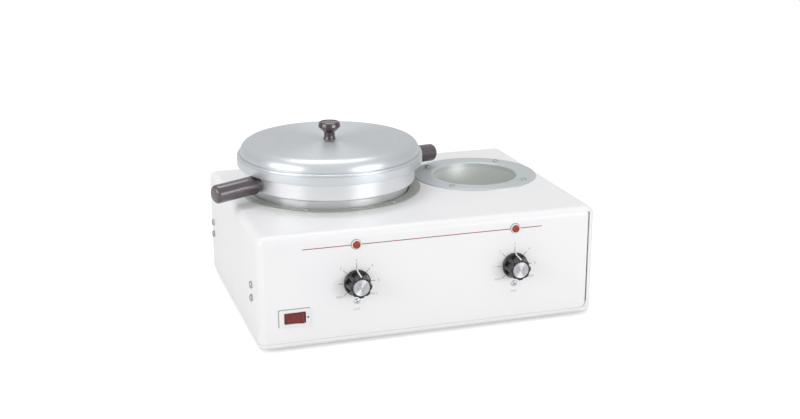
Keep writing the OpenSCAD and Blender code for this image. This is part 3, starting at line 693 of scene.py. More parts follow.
@dataclass(frozen=True)
class Sprayed(Finish):
    """Enamel, plastic, rubber or ink: a body colour with a fine unevenness."""

    colour: str
    dulled: str
    roughness: float
    spread: float = 0.06
    fineness: float = 500.0
    relief: float = 0.02
    strength: float = 0.15
    gloss: float = 0.5

    def wire(self, surface: Surface) -> None:
        """Wires a colour with dulled patches and a fleck, over a fine peel.

        Args:
            surface: The material in the making.
        """
        height, fleck = surface.peel(self.fineness)
        mask = surface.marks(scale=14.0, spread=0.6)
        fleck = surface.remap(fleck, *NOISE_BAND, 0.0, 0.5)
        both = surface.math("ADD", surface.math("MULTIPLY", mask, 0.5), fleck)
        surface.tint(both, self.colour, self.dulled)
        surface.roughen(mask, self.roughness, self.spread)
        surface.set(Normal=surface.bump(height, self.strength, self.relief),
                    Specular_IOR_Level=self.gloss)


@dataclass(frozen=True)
class SpunMetal(Finish):
    """Metal with fine rings round its axis, which spread its highlights across them.

    Where inside is given, the metal fades below the height given in metres to that paler colour and
    its own metallic: painted light that brightens a well's inside.
    """

    colour: str
    ring: str
    roughness: float
    anisotropy: float = 0.6
    fineness: float = 900.0
    relief: float = 0.01
    strength: float = 0.25
    spread: float = 0.08
    metallic: float = 1.0
    inside: str | None = None
    painted_light_top: float = 0.118
    painted_light_fade: float = 0.006
    painted_light_metallic: float = 0.85

    def wire(self, surface: Surface) -> None:
        """Wires ringed metal with dulled patches and its highlights' direction.

        Args:
            surface: The material in the making.
        """
        height, tone = surface.effect(turned_grain(), Place=surface.place,
                                      Fineness=self.fineness, Arc=1.4)
        tone = surface.remap(tone, *NOISE_BAND, 0.0, 1.0)
        colour = surface.blend(tone, shade(self.colour), shade(self.ring))
        metallic: Value = self.metallic
        # Painted light: down the inside the colour turns paler and the metallic changes, though it
        # is the same metal.
        if self.inside is not None:
            up, top = surface.axes(surface.place)[2], self.painted_light_top
            low = surface.remap(up, top - self.painted_light_fade, top, 1.0, 0.0)
            colour = surface.blend(low, colour, shade(self.inside))
            metallic = surface.remap(low, 0.0, 1.0, self.metallic, self.painted_light_metallic)
        halves = [surface.math("MULTIPLY", mask, 0.5)
                  for mask in (tone, surface.marks(scale=22.0, spread=0.5))]
        surface.roughen(surface.math("ADD", *halves), self.roughness, self.spread)
        tangent = surface.node("ShaderNodeTangent", direction_type="RADIAL", axis="Z")
        surface.set(Base_Color=colour, Metallic=metallic, Tangent=tangent.outputs[0],
                    Normal=surface.bump(height, self.strength, self.relief),
                    Anisotropic=self.anisotropy, Anisotropic_Rotation=0.25)


@dataclass(frozen=True)
class PlainMetal(Finish):
    """Rolled, plated or drawn metal without a direction."""

    colour: str
    dulled: str
    roughness: float
    spread: float = 0.12
    fineness: float = 700.0
    relief: float = 0.01
    strength: float = 0.1

    def wire(self, surface: Surface) -> None:
        """Wires metal with dulled patches, over a faint peel.

        Args:
            surface: The material in the making.
        """
        height, _ = surface.peel(self.fineness)
        mask = surface.marks(scale=60.0, spread=0.9)
        surface.tint(mask, self.colour, self.dulled)
        surface.roughen(mask, self.roughness, self.spread)
        surface.set(Normal=surface.bump(height, self.strength, self.relief), Metallic=1.0)


@dataclass(frozen=True)
class Streaked(Finish):
    """Moulded thermoset with faint flow streaks along its Z axis, under a glossy skin."""

    colour: str
    streak: str
    roughness: float
    gloss: float = 0.5
    coat: float = 0.3
    coat_roughness: float = 0.12
    spread: float = 0.1
    fineness: float = 900.0
    relief: float = 0.015
    strength: float = 0.12

    def wire(self, surface: Surface) -> None:
        """Wires a streaked colour with dulled patches, over a faint peel.

        Args:
            surface: The material in the making.
        """
        streaks = surface.noise(surface.drawn_out(surface.place, along=0.12), scale=260.0,
                                detail=4.0)
        surface.tint(surface.remap(streaks, 0.45, 0.75, 0.0, 1.0), self.colour, self.streak)
        surface.roughen(surface.marks(scale=90.0, spread=0.9), self.roughness, self.spread)
        height, _ = surface.peel(self.fineness)
        surface.set(Normal=surface.bump(height, self.strength, self.relief),
                    Specular_IOR_Level=self.gloss, Coat_Weight=self.coat,
                    Coat_Roughness=self.coat_roughness)


@dataclass(frozen=True)
class ClearPlastic(Finish):
    """Coloured plastic that lets some light through."""

    colour: str
    edge: str
    roughness: float
    clear: float
    spread: float = 0.08

    def wire(self, surface: Surface) -> None:
        """Wires a faintly clouded colour that transmits.

        Args:
            surface: The material in the making.
        """
        cloud = surface.noise(surface.place, scale=320.0)
        cloud = surface.remap(cloud, *NOISE_BAND, 0.0, 1.0)
        surface.tint(cloud, self.colour, self.edge)
        surface.roughen(cloud, self.roughness, self.spread)
        surface.set(Transmission_Weight=self.clear, IOR=1.49)


@dataclass(frozen=True)
class Fibre(Finish):
    """Matted mineral fibre."""

    colour: str
    shadow: str
    roughness: float = 0.85
    spread: float = 0.15
    relief: float = 0.6
    strength: float = 0.8

    def wire(self, surface: Surface) -> None:
        """Wires tufts with painted shade in the hollows between them, paler where they stand up.

        Args:
            surface: The material in the making.
        """
        tufts = surface.noise(surface.drawn_out(surface.place, along=3.0), scale=240.0, detail=8.0)
        surface.tint(surface.remap(tufts, 0.4, 0.65, 0.0, 1.0), self.shadow, self.colour)
        surface.roughen(surface.remap(tufts, 0.3, 0.7, 0.0, 1.0), self.roughness, self.spread)
        surface.set(Normal=surface.bump(tufts, self.strength, self.relief))


FINISHES = {
    "white_enamel": Sprayed("F1F1F2", "ECECEE", 0.36, fineness=420.0, relief=0.015, strength=0.12),
    "plated_steel": PlainMetal("BFC1C2", "A2A4A5", 0.28),
    "bright_steel": PlainMetal("C6C8CA", "B4B6B8", 0.45),
    "polished_steel": PlainMetal("DCDDDF", "C9CBCD", 0.34),
    # The well metals paint their insides paler, as painted light.
    "well_aluminium": SpunMetal("CFD4D7", "C5CACD", 0.45, anisotropy=0.3, strength=0.1,
                                spread=0.04, metallic=0.5, inside="EFF1EE"),
    # A darker copy of the well metal: painted shade for the left well's flange under the pot's
    # overhang.
    "shaded_well_aluminium": SpunMetal("BFC2BC", "B4B7B0", 0.5, anisotropy=0.3, strength=0.1,
                                spread=0.04, metallic=0.5, inside="EFF1EE"),
    "pot_aluminium": SpunMetal("F1F3F5", "EBEDF0", 0.36, anisotropy=0.75, strength=0.06,
                               spread=0.03, metallic=0.7),
    "lid_aluminium": SpunMetal("DFE3E7", "DCE0E4", 0.36, anisotropy=0.6, fineness=1500.0,
                               strength=0.03, spread=0.01, metallic=0.85),
    "foot_rubber": Sprayed("26262A", "303034", 0.75, gloss=0.3, strength=0.4),
    "heater_steel": PlainMetal("9D9588", "7F776C", 0.45),
    "mineral_wool": Fibre("E6D79A", "B9A566"),
    "thermostat_ceramic": Sprayed("D9D4C6", "C8C2B2", 0.6, strength=0.3),
    "capillary_copper": PlainMetal("C4835C", "9A5F3F", 0.32),
    "black_phenolic": Streaked("211F21", "2D2A2C", 0.22, gloss=0.5, coat=0.2),
    "cap_aluminium": SpunMetal("DDDFE2", "CFD1D5", 0.42, anisotropy=0.96, fineness=2600.0,
                               spread=0.02),
    "brown_phenolic": Streaked("3B2C36", "4E3D48", 0.3, gloss=1.0, coat=0.9, coat_roughness=0.24),
    "dark_phenolic": Streaked("35202D", "452E3C", 0.22, gloss=0.7, coat=0.7, coat_roughness=0.16),
    "white_plastic": Sprayed("EDEDEE", "E6E6E8", 0.3, fineness=900.0, strength=0.1),
    "red_lens": ClearPlastic("C8564E", "A8423C", 0.15, 0.4),
    "red_rocker": ClearPlastic("82302A", "6C231D", 0.22, 0.1),
    "terminal_brass": PlainMetal("D0A95C", "A98642", 0.3),
    "terminal_plastic": Sprayed("DCD8CC", "CFCABC", 0.5),
    "wire_sleeve": Sprayed("37467F", "2E3B6C", 0.5),
    "bushing_nylon": Sprayed("1E1E20", "29292C", 0.5, gloss=0.4),
    "cream_plastic": Sprayed("ECE7DB", "E2DCCE", 0.3, fineness=900.0, strength=0.1),
    # A grey that paints the shadow lines beside the lamp holders and the switch bezel.
    "painted_shadow_grey": Sprayed("9C9B98", "8E8D8A", 0.6, gloss=0.2),
    "dial_ink": Sprayed("7B7D81", "888A8D", 0.5),
    "red_ink": Sprayed("983B45", "A34A53", 0.45),
    "white_ink": Sprayed("F4F4F4", "E8E8E8", 0.45),
    "dark_ink": Sprayed("1C1C1E", "2A2A2C", 0.4),
}


@cache
def finish(name: str) -> bpy.types.Material:
    """Builds a finish the first time that it is asked for."""
    return FINISHES[name].build(name)


def dress(piece: bpy.types.Object, name: str) -> None:
    """Gives a piece one finish."""
    piece.data.materials.clear()
    piece.data.materials.append(finish(name))


def dress_node(name: str) -> None:
    """Gives a CAD node that stays in the view the finish of its slot.

    Args:
        name: The node's name.
    """
    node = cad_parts[name]
    dress(node, node.data.materials[0].name.split(".")[0])
    LOG.info("%s is dressed", name)


def seat(piece: bpy.types.Object, body: str, slot: str, *nodes: str, look: str | None = None,
         at: Matrix | None = None) -> None:
    """Puts a new piece on its body, with its finish, and hides what it stands for.

    Args:
        piece: The new piece.
        body: The body that it moves with.
        slot: The record's material slot.
        nodes: The CAD nodes that it stands for.
        look: A finish of its own, for print or where the piece differs from the slot's others.
        at: Its place, where its mesh isn't there yet.
    """
    if at is not None:
        piece.matrix_world = at
    dress(piece, look or slot)
    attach(piece, body)
    if nodes:
        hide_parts(*nodes)
    LOG.info("%s rides on %s", piece.name, body)


# Small parts that repeat


@dataclass(frozen=True)
class PanHead:
    """A pan-head screw with a cross recess, seated on Z = 0."""

    head: float
    rise: float
    shank: float = 1.5
    length: float = 5.0
    rounding: float = 0.7
    arm_share: float = 0.58
    slot_share: float = 0.11
    floor_share: float = 0.25
    taper: float = 0.6

    def template(self) -> bpy.types.Object:
        """Turns the screw and cuts its recess.

        Returns:
            A piece to copy.
        """
        edge = self.rounding * self.rise
        outline = [(0, -self.length), (self.shank * 0.6, -self.length),
                   (self.shank, self.shank - self.length), (self.shank, 0),
                   (self.head - 0.1, 0), (self.head, 0.1)]
        outline += arc(self.head - edge, self.rise - edge, edge, 0, 90) + [(0, self.rise)]
        screw = lathe("screw", outline, segments=40)
        wide, thin = self.arm_share * self.head, self.slot_share * self.head
        cross = [(thin, wide), (-thin, wide), (-thin, thin), (-wide, thin), (-wide, -thin),
                 (-thin, -thin), (-thin, -wide), (thin, -wide), (thin, -thin), (wide, -thin),
                 (wide, thin), (thin, thin)]
        recess = prism("cross", cross, self.floor_share * self.rise, self.rise + 0.2, self.taper)
        return carve(screw, recess)

    def fit(self, name: str, places: Iterable[Matrix], node: str, look: str | None = None) -> None:
        """Copies the screw to its places on the housing.

        Args:
            name: The name of the piece that holds all the screws.
            places: Where the heads sit.
            node: The CAD node that they stand for.
            look: A finish of their own.
        """
        screws = scatter(name, self.template(), places)
        seat(screws, "housing", "plated_steel", node, look=look)


def words(name: str, text: str, height: float) -> bpy.types.Mesh:
    """Makes flat lettering about its own middle.

    Args:
        name: A name for the mesh.
        text: What it says.
        height: The height of its capitals.

    Returns:
        The lettering's mesh, in metres.
    """
    curve = bpy.data.curves.new(name, "FONT")
    curve.body, curve.align_x, curve.align_y = text, "CENTER", "CENTER"
    curve.size = height * MM / CAPITAL_SHARE
    curve.offset = -THINNING * height * MM
    holder = bpy.data.objects.new(name, curve)
    bpy.context.scene.collection.objects.link(holder)
    bpy.context.view_layer.update()
    mesh = settled(holder)
    bpy.data.objects.remove(holder)
    return mesh


# The warmer's sub-assemblies


@dataclass
class Housing:
    """The folded hood, its tray and what is fastened to their outside."""

    side_screw: PanHead = PanHead(head=3.7, rise=2.4)
    screw_up: tuple[float, float] = (48.0, 61.5)
    screw_rows: tuple[float, float] = (31.6, 242.0)
    row_spin: float = 37.0
    pair_spin: float = 23.0
    cad_nodes: tuple[str, ...] = ("hood", "base_tray", "rubber_feet", "foot_screws",
                                  "cord_bushing")

    def build(self) -> None:
        """Dresses the sheets and makes the side screws."""
        for node in self.cad_nodes:
            dress_node(node)
        hood = Extent.of("hood")
        places = [spot((x, hood.low.y + row, up), turn, self.row_spin * i + self.pair_spin * j)
                  for x, turn in ((hood.low.x, Turn.LEFT), (hood.high.x, Turn.RIGHT))
                  for i, row in enumerate(self.screw_rows)
                  for j, up in enumerate(self.screw_up)]
        self.side_screw.fit("side_pan_screws", places, "side_screws")


@dataclass
class InnerParts:
    """The pieces inside the housing, which stay as the frame has them."""

    skipped: Sequence[str]

    def build(self) -> None:
        """Gives each inner node that no new piece stands for its finish."""
        for name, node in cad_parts.items():
            if name not in self.skipped and not node.hide_render:
                dress_node(name)


@dataclass
class Well:
    """A drawn well with a flat flange and its screws."""

    side: str
    mouth: float
    ring: float
    screws: int
    first_angle: float
    screw: PanHead
    metal: str
    lip: float = 2.2
    corner: float = 8.0
    sheet: float = 1.2
    edge: float = 0.4
    first_spin: float = 31.0
    next_spin: float = 53.0

    def outline(self, box: Extent) -> Outline:
        """Draws the well's sheet from the middle of its floor and back below it.

        Args:
            box: The node's box.

        Returns:
            The closed outline.
        """
        top, floor, flange = box.high.z, box.low.z + self.sheet, box.size.x / 2
        lip_x, low_x = self.mouth + self.lip, self.mouth - self.corner
        under = floor + self.corner
        return ([(0, floor)] + arc(low_x, under, self.corner, -90, 0, 10)
                + arc(lip_x, top - self.lip, self.lip, 180, 90, 8)
                + [(flange - self.edge, top), (flange - self.edge * 0.3, top - self.edge * 0.3),
                   (flange, top - self.edge), (flange, top - self.sheet)]
                + arc(lip_x, top - self.lip, self.lip - self.sheet, 90, 180)
                + arc(low_x, under, self.corner + self.sheet, 0, -90, 10)
                + [(0, floor - self.sheet)])

    def build(self) -> None:
        """Turns the well and sets its screws."""
        node = f"{self.side}_well"
        box = Extent.of(node)
        x, y, top = box.middle.x, box.middle.y, box.high.z
        pan = lathe(f"{self.side}_drawn_well", self.outline(box), segments=192)
        seat(pan, "housing", "well_aluminium", node, look=self.metal, at=spot((x, y, 0)))
        places = []
        for i in range(self.screws):
            a = math.radians(self.first_angle + 360 * i / self.screws)
            where = (x + self.ring * math.cos(a), y + self.ring * math.sin(a), top)
            places.append(spot(where, spin=self.first_spin + self.next_spin * i))
        self.screw.fit(f"{self.side}_flange_screws", places, f"{self.side}_well_screws",
                       "bright_steel")


@dataclass
class Pot:
    """The lift-out pot: a lower part that fits the well, a shoulder, a body and a rolled rim."""

    lower: float = 82.8
    body: float = 90.0
    wall: float = 1.6
    shoulder_up: float = 75.0
    bead: float = 3.3
    base_corner: float = 6.0
    shoulder: float = 2.0
    inner_corner: float = 0.8

    def outline(self, box: Extent) -> Outline:
        """Draws the pot's wall from the middle of its base, up outside and down inside.

        Args:
            box: The node's box.

        Returns:
            The closed outline.
        """
        base, rim = box.low.z, box.high.z
        step = base + self.shoulder_up
        inner, low_in = self.body - self.wall, self.lower - self.wall
        middle, low = inner + self.bead, rim - self.bead
        start = -math.degrees(math.acos((self.body - middle) / self.bead))
        bead = arc(middle, low, self.bead, start, 180, 20)
        soft = self.inner_corner
        outside = rounded([Knot(0, base), Knot(self.lower, base, self.base_corner, 8),
                           Knot(self.lower, step, soft, 4), Knot(self.body, step, self.shoulder, 8),
                           Knot(*bead[0])])
        floor, ledge = base + self.wall, step + self.wall
        inside = rounded([Knot(inner, low), Knot(inner, ledge, self.shoulder - self.wall, 5),
                          Knot(low_in, ledge, soft, 4),
                          Knot(low_in, floor, self.base_corner - self.wall, 8), Knot(0, floor)])
        return outside + bead[1:] + inside[1:]

    def build(self) -> None:
        """Turns the pot."""
        box = Extent.of("pot")
        place = Extent.of("lid").middle
        pan = lathe("spun_pot", self.outline(box), segments=192)
        seat(pan, "pot", "pot_aluminium", "pot", at=spot((place.x, place.y, 0)))


@dataclass
class Grip:
    """One of the pot's round handles."""

    node: str
    azimuth: float
    radius: float = 9.6
    end: float = 4.2
    end_turn: float = 66.0
    foot_end: float = 4.0
    wall: float = 90.0
    gap: float = 0.9
    up: float = 84.1
    droop: float = 3.0
    length: float = 50.5
    bore: float = 2.25
    stud_depth: float = 20.0

    def build(self) -> None:
        """Turns the grip and stands it out of the pot, hanging a little below level."""
        last, foot = self.length, self.radius - self.foot_end
        outline = [(self.bore, 0), (foot, 0)] + arc(foot, self.foot_end, self.foot_end, -90, 0, 7)
        outline += arc(self.radius - self.end, last - self.end, self.end, 0, self.end_turn, 9)
        lip = outline[-1][0]
        outline += [(lip - 0.25, last - 0.42), (lip - 0.55, last - 0.36), (lip * 0.5, last - 0.1),
                    (0, last), (0, self.stud_depth), (self.bore, self.stud_depth)]
        centre, base = Extent.of("lid").middle, Extent.of("pot").low.z
        grip = lathe(f"turned_{self.node}", outline, segments=72, closed=True)
        turn = Matrix.Rotation(math.radians(self.azimuth), 4, "Z")
        lean = Matrix.Rotation(math.radians(90 + self.droop), 4, "Y")
        place = (spot((centre.x, centre.y, base + self.up)) @ turn
                 @ Matrix.Translation((self.wall * MM, 0, 0)) @ lean
                 @ Matrix.Translation((0, 0, self.gap * MM)))
        seat(grip, "pot", "brown_phenolic", self.node, at=place)


@dataclass
class Lid:
    """The lid: a low crown, a round shoulder, a ledge and a grooved skirt."""

    wall: float = 94.7
    sheet: float = 1.1
    shoulder: float = 11.5
    crown: float = 0.4
    flat: float = 9.0
    rise: float = 14.2
    skirt_drop: float = 10.1
    skirt_in: float = 1.9
    groove: float = 0.7
    groove_down: float = 2.2
    bevel: float = 0.12
    rim_round: float = 1.2
    hem_round: float = 0.6
    screw_hole: float = 1.95

    def outline(self, box: Extent) -> Outline:
        """Draws the lid's section from its screw hole, out and down, and back inside.

        Args:
            box: The node's box.

        Returns:
            The closed outline.
        """
        top, skirt = box.high.z, box.size.x / 2
        ledge = top - self.rise
        step, hem = ledge + self.sheet, ledge - self.skirt_drop
        cut = step - self.groove_down
        middle_x, middle_z = self.wall - self.shoulder, top - self.crown - self.shoulder
        flank = arc(middle_x, middle_z, self.shoulder, 90, 4, 14)
        crown = [(self.screw_hole, top), (self.flat, top)]
        for share in (0.25, 0.5, 0.75):
            across = self.flat + (middle_x - self.flat) * share
            crown.append((across, top - self.crown * share ** 2))
        skin = [(self.wall, step + 0.5), (self.wall - 0.3, step + 0.3),
                (self.wall - 0.3, step - 0.1), (self.wall + 0.3, step - 0.1),
                (self.wall + 0.6, step)]
        skin += arc(skirt - 1.4, step - self.rim_round, self.rim_round, 90, 0)
        deep = skirt - self.groove
        skin += [(skirt - 0.2, cut + 0.5), (deep + 0.1, cut + self.bevel), (deep, cut),
                 (deep + 0.1, cut - self.bevel), (skirt, cut - 0.5)]
        skin += arc(skirt - self.hem_round, hem + self.hem_round, self.hem_round, 0, -90, 5)
        skin.append((skirt - self.skirt_in, hem))
        inside = [(skirt - self.skirt_in, ledge), (self.wall - self.sheet, ledge)]
        inside += arc(middle_x, middle_z, self.shoulder - self.sheet, 0, 90, 12)
        return crown + flank + skin + inside + [(self.screw_hole, top - self.sheet)]

    def build(self) -> None:
        """Turns the lid."""
        box = Extent.of("lid")
        cover = lathe("spun_lid", self.outline(box), segments=224, closed=True)
        seat(cover, "lid", "lid_aluminium", "lid", at=spot((box.middle.x, box.middle.y, 0)))


@dataclass
class LidKnob:
    """The mushroom knob on the lid: a thin foot, a slim stem and a dished head."""

    foot: float = 6.6
    foot_rise: float = 0.5
    stem: float = 5.8
    neck_down: float = 11.2
    widest: float = 11.9
    widest_down: float = 5.0
    rim: float = 9.7
    bore: float = 1.8
    bore_depth: float = 12.0
    dish: tuple[tuple[float, float], ...] = ((9.4, 0.06), (9.1, 0.3), (8.7, 0.6), (7.6, 0.75),
                                             (5.0, 0.6), (2.5, 0.4), (0.0, 0.3))

    def build(self) -> None:
        """Turns the knob."""
        box = Extent.of("lid_knob")
        high = box.size.z
        outline = [(self.bore, 0), (self.foot - 0.15, 0), (self.foot, 0.15),
                   (self.foot, self.foot_rise)]
        outline += rounded([Knot(self.stem + 0.4, 1.2), Knot(self.stem, 3.6, 4.0),
                            Knot(self.stem, high - self.neck_down, 1.6),
                            Knot(self.widest - 3.0, high - 8.3, 1.5),
                            Knot(self.widest, high - self.widest_down, 1.6, 6),
                            Knot(self.widest - 1.0, high - 0.6, 1.2), Knot(self.rim, high)])
        outline += [(across, high - down) for across, down in self.dish]
        outline += [(0, self.bore_depth), (self.bore, self.bore_depth)]
        knob = lathe("turned_lid_knob", outline, segments=96, closed=True)
        seat(knob, "lid", "brown_phenolic", "lid_knob", look="dark_phenolic",
             at=spot((box.middle.x, box.middle.y, box.low.z)))


@dataclass
class Dial:
    """A fluted dial knob with a spun face disc and a painted pointer."""

    side: str
    lobes: int = 8
    segments: int = 256
    foot: float = 13.3
    grip: float = 12.4
    face: float = 11.0
    length: float = 16.4
    foot_rise: float = 3.4
    flute: float = 3.6
    flute_depth: float = 1.5
    flute_tilt: float = 3.0
    flute_start: float = 4.0
    flute_soft: float = 0.45
    edge: float = 1.2
    recess: float = 8.25
    recess_depth: float = 1.0
    recess_bevel: float = 0.12
    bore: float = 3.02
    bore_depth: float = 12.0
    cap: float = 8.2
    cap_sheet: float = 1.2
    cap_dish: float = 0.3
    cap_hollow: float = 0.14
    pointer: float = 1.3
    pointer_proud: float = 0.05
    standoff: float = 0.6

    def envelope(self) -> Outline:
        """The grip's outline without its flutes.

        Returns:
            Radii and distances from the knob's back.
        """
        rim = self.length - self.edge
        start = (self.grip, self.foot_rise)
        curve = arc(self.face - self.edge, rim, self.edge, 15, 90, 7)
        slope = (curve[0][0] - start[0]) / (curve[0][1] - start[1])
        heights = (self.flute_start - 0.02, self.flute_start, 4.6, 6.0, 8.0, 10.0, 12.0, 14.0)
        taper = [(start[0] + slope * (z - start[1]), z) for z in heights]
        skirt = [(self.foot - 0.4, 0.0), (self.foot - 0.1, 0.12), (self.foot, 0.5),
                 (self.foot, self.foot_rise - 0.8), (self.foot - 0.15, self.foot_rise - 0.55),
                 start]
        return skirt + taper + curve

    def radius(self, across: float, up: float, angle: float) -> float:
        """The grip's radius with its flutes.

        Args:
            across: The radius without flutes.
            up: The distance from the knob's back.
            angle: The angle round the axis.

        Returns:
            The radius there.
        """
        if up < self.flute_start:
            return across
        pitch = 2 * math.pi / self.lobes
        off = angle % pitch - pitch / 2
        tilt = math.tan(math.radians(self.flute_tilt))
        far = self.face - self.flute_depth + self.flute + (self.length - up) * tilt
        if abs(far * math.sin(off)) >= self.flute:
            return across
        near = far * math.cos(off) - math.sqrt(self.flute ** 2 - (far * math.sin(off)) ** 2)
        soft = self.flute_soft
        gap = max(soft - abs(across - near), 0.0) / soft
        return min(across, near) - gap * gap * soft / 4

    def knob(self) -> bpy.types.Object:
        """Turns the knob with its flutes.

        Returns:
            The knob, its back on Z = 0.
        """
        floor, bevel = self.length - self.recess_depth, self.recess_bevel
        behind = [(0.0, self.bore_depth), (self.bore, self.bore_depth), (self.bore, 0.0)]
        face = [(self.recess + bevel, self.length), (self.recess, self.length - bevel),
                (self.recess, floor), (0.0, floor)]
        return lathe(f"{self.side}_moulded_knob", behind + self.envelope() + face, self.segments,
                     shape=self.radius)

    def pointer_line(self) -> bpy.types.Object:
        """Lays the pointer's paint over the knob's skirt and grip at the top.

        Returns:
            The painted line.
        """
        mesh = bmesh.new()
        made = []
        for across, up in self.envelope():
            if not 0.2 < up < self.length - 0.25:
                continue
            reach = self.radius(across, up, math.pi / 2) + self.pointer_proud
            sides = [self.pointer / 2 * t for t in (-1.0, -0.5, 0.0, 0.5, 1.0)]
            made.append([mesh.verts.new(Vector((x, math.sqrt(reach ** 2 - x ** 2), up)) * MM)
                         for x in sides])
        for low, high in zip(made, made[1:]):
            for i in range(len(low) - 1):
                mesh.faces.new((low[i], low[i + 1], high[i + 1], high[i]))
        return finished(mesh, f"{self.side}_pointer_line")

    def disc(self) -> bpy.types.Object:
        """Turns the dished face disc with its bright chamfered rim.

        Returns:
            The disc, its back on Z = 0.
        """
        top, cap = self.cap_sheet, self.cap
        low = top - self.cap_dish
        outline = [(0, 0), (cap, 0), (cap, low), (cap - 0.12, top - 0.1), (cap - 0.5, top),
                   (cap - 0.8, top - 0.02), (cap - 1.05, top - 0.16)]
        outline += [(cap * share, low + self.cap_hollow * share ** 2)
                    for share in (0.8, 0.6, 0.4, 0.2, 0.0)]
        return lathe(f"{self.side}_spun_disc", outline, segments=96)

    def build(self) -> None:
        """Builds the dial and sets it on the panel."""
        body = f"{self.side}_dial"
        middle = Extent.of(f"{self.side}_knob_cap").middle
        place = on_panel(middle.x, middle.z, self.standoff)
        seat(self.knob(), body, "black_phenolic", f"{self.side}_dial_knob", at=place)
        seat(self.pointer_line(), body, "white_plastic", look="white_ink", at=place)
        out = self.standoff + self.length - self.recess_depth
        seat(self.disc(), body, "cap_aluminium", f"{self.side}_knob_cap",
             at=on_panel(middle.x, middle.z, out))


@dataclass
class DialPrint:
    """The plain marks and numbers round a dial."""

    side: str
    inner: float = 13.7
    outer: float = 18.9
    long_outer: float = 19.8
    line: float = 0.55
    label_ring: float = 22.2
    word_turn: float = 7.0
    digit: float = 3.0
    word: float = 2.6
    off_down: float = 28.0
    proud: float = 0.05
    marks: tuple[tuple[float, str], ...] = ((225.0, "MIN"), (180.0, "1"), (135.0, "2"),
                                            (90.0, "3"), (45.0, "4"), (0.0, "5"), (315.0, "MAX"))

    def ticks(self) -> list[list[Vector]]:
        """Draws the ticks, seen from the front.

        Returns:
            Four corners for each tick.
        """
        quads = []
        for angle, _ in self.marks:
            a = math.radians(angle)
            along = Vector((math.cos(a), math.sin(a), 0))
            side = Vector((-math.sin(a), math.cos(a), 0))
            end = self.long_outer if angle == 90.0 else self.outer
            quads.append([along * r + side * s * self.line / 2
                          for r, s in ((self.inner, -1), (end, -1), (end, 1), (self.inner, 1))])
        return quads

    def labels(self) -> list[tuple[Vector, str]]:
        """Places the labels, the two words beside their ticks' ends.

        Returns:
            Each label's middle and what it says.
        """
        turns = {"MIN": -self.word_turn, "MAX": self.word_turn}
        placed = []
        for angle, text in self.marks:
            a = math.radians(angle + turns.get(text, 0.0))
            placed.append((Vector((math.cos(a), math.sin(a), 0)) * self.label_ring, text))
        return placed + [(Vector((0, -self.off_down, 0)), "OFF")]

    def build(self) -> None:
        """Lays the print on the panel."""
        mesh = bmesh.new()
        for corners in self.ticks():
            mesh.faces.new([mesh.verts.new(c * MM) for c in corners])
        for where, text in self.labels():
            height = self.digit if len(text) == 1 else self.word
            paste(mesh, words("label", text, height), Matrix.Translation(where * MM))
        middle = Extent.of(f"{self.side}_knob_cap").middle
        seat(finished(mesh, f"{self.side}_dial_print"), "housing", "white_enamel", look="dial_ink",
             at=on_panel(middle.x, middle.z, self.proud))


@dataclass
class Lamp:
    """A round lamp holder, a grey ring behind it set off up and left that paints its shadow line,
    and a domed red lens.
    """

    side: str
    flange: float = 5.0
    flange_rise: float = 1.1
    seat_radius: float = 3.7
    seat_gap: float = 0.1
    barrel: float = 4.1
    barrel_depth: float = 18.0
    lens: float = 3.6
    lens_proud: float = 3.0
    lens_crown: float = 0.2
    lens_back: float = 7.9
    dome: float = 1.2
    # The grey ring's rise, its reach beyond the flange and its shift up and left paint the holder's
    # shadow line.
    gasket: float = 0.3
    gasket_wider: float = 0.35
    gasket_off: float = 0.25
    off_panel: float = 0.02
    segments: int = 64

    def holder(self) -> Outline:
        """Draws the holder's section, from its seat out and back.

        Returns:
            The section's outline.
        """
        back = -self.lens_back - self.seat_gap
        return rounded([Knot(0, back), Knot(self.seat_radius, back),
                        Knot(self.seat_radius, self.flange_rise, 0.25, 4),
                        Knot(self.flange - 0.7, self.flange_rise, 0.35, 4),
                        Knot(self.flange, 0.3, 0.15, 3), Knot(self.flange, 0),
                        Knot(self.barrel, 0), Knot(self.barrel, -self.barrel_depth),
                        Knot(0, -self.barrel_depth)])

    def build(self) -> None:
        """Turns the holder, the painted shadow ring and the lens."""
        middle = Extent.of(f"{self.side}_lamp_lens").middle
        place = on_panel(middle.x, middle.z)
        seat(lathe(f"{self.side}_lamp_holder", self.holder(), self.segments), "housing",
             "white_plastic", f"{self.side}_lamp_body", look="cream_plastic", at=place)
        inner, outer = self.barrel + 0.1, self.flange + self.gasket_wider
        ring = [(inner, self.off_panel), (outer, self.off_panel), (outer, self.gasket - 0.1),
                (outer - 0.1, self.gasket), (inner, self.gasket)]
        # Set off up and left, the grey ring shows on the holder's left and top: a painted shadow
        # line.
        seat(lathe(f"{self.side}_lamp_shadow_ring", ring, self.segments, closed=True), "housing",
             "white_plastic", look="painted_shadow_grey",
             at=on_panel(middle.x - self.gasket_off, middle.z + self.gasket_off))
        lens = [(0, -self.lens_back), (self.lens, -self.lens_back)]
        lens += arc(self.lens - self.dome, self.lens_proud - self.dome, self.dome, 0, 80, 8)
        lens += [(1.3, self.lens_proud + self.lens_crown * 0.7),
                 (0, self.lens_proud + self.lens_crown)]
        seat(lathe(f"{self.side}_domed_lens", lens, self.segments), "housing", "red_lens",
             f"{self.side}_lamp_lens", at=place)


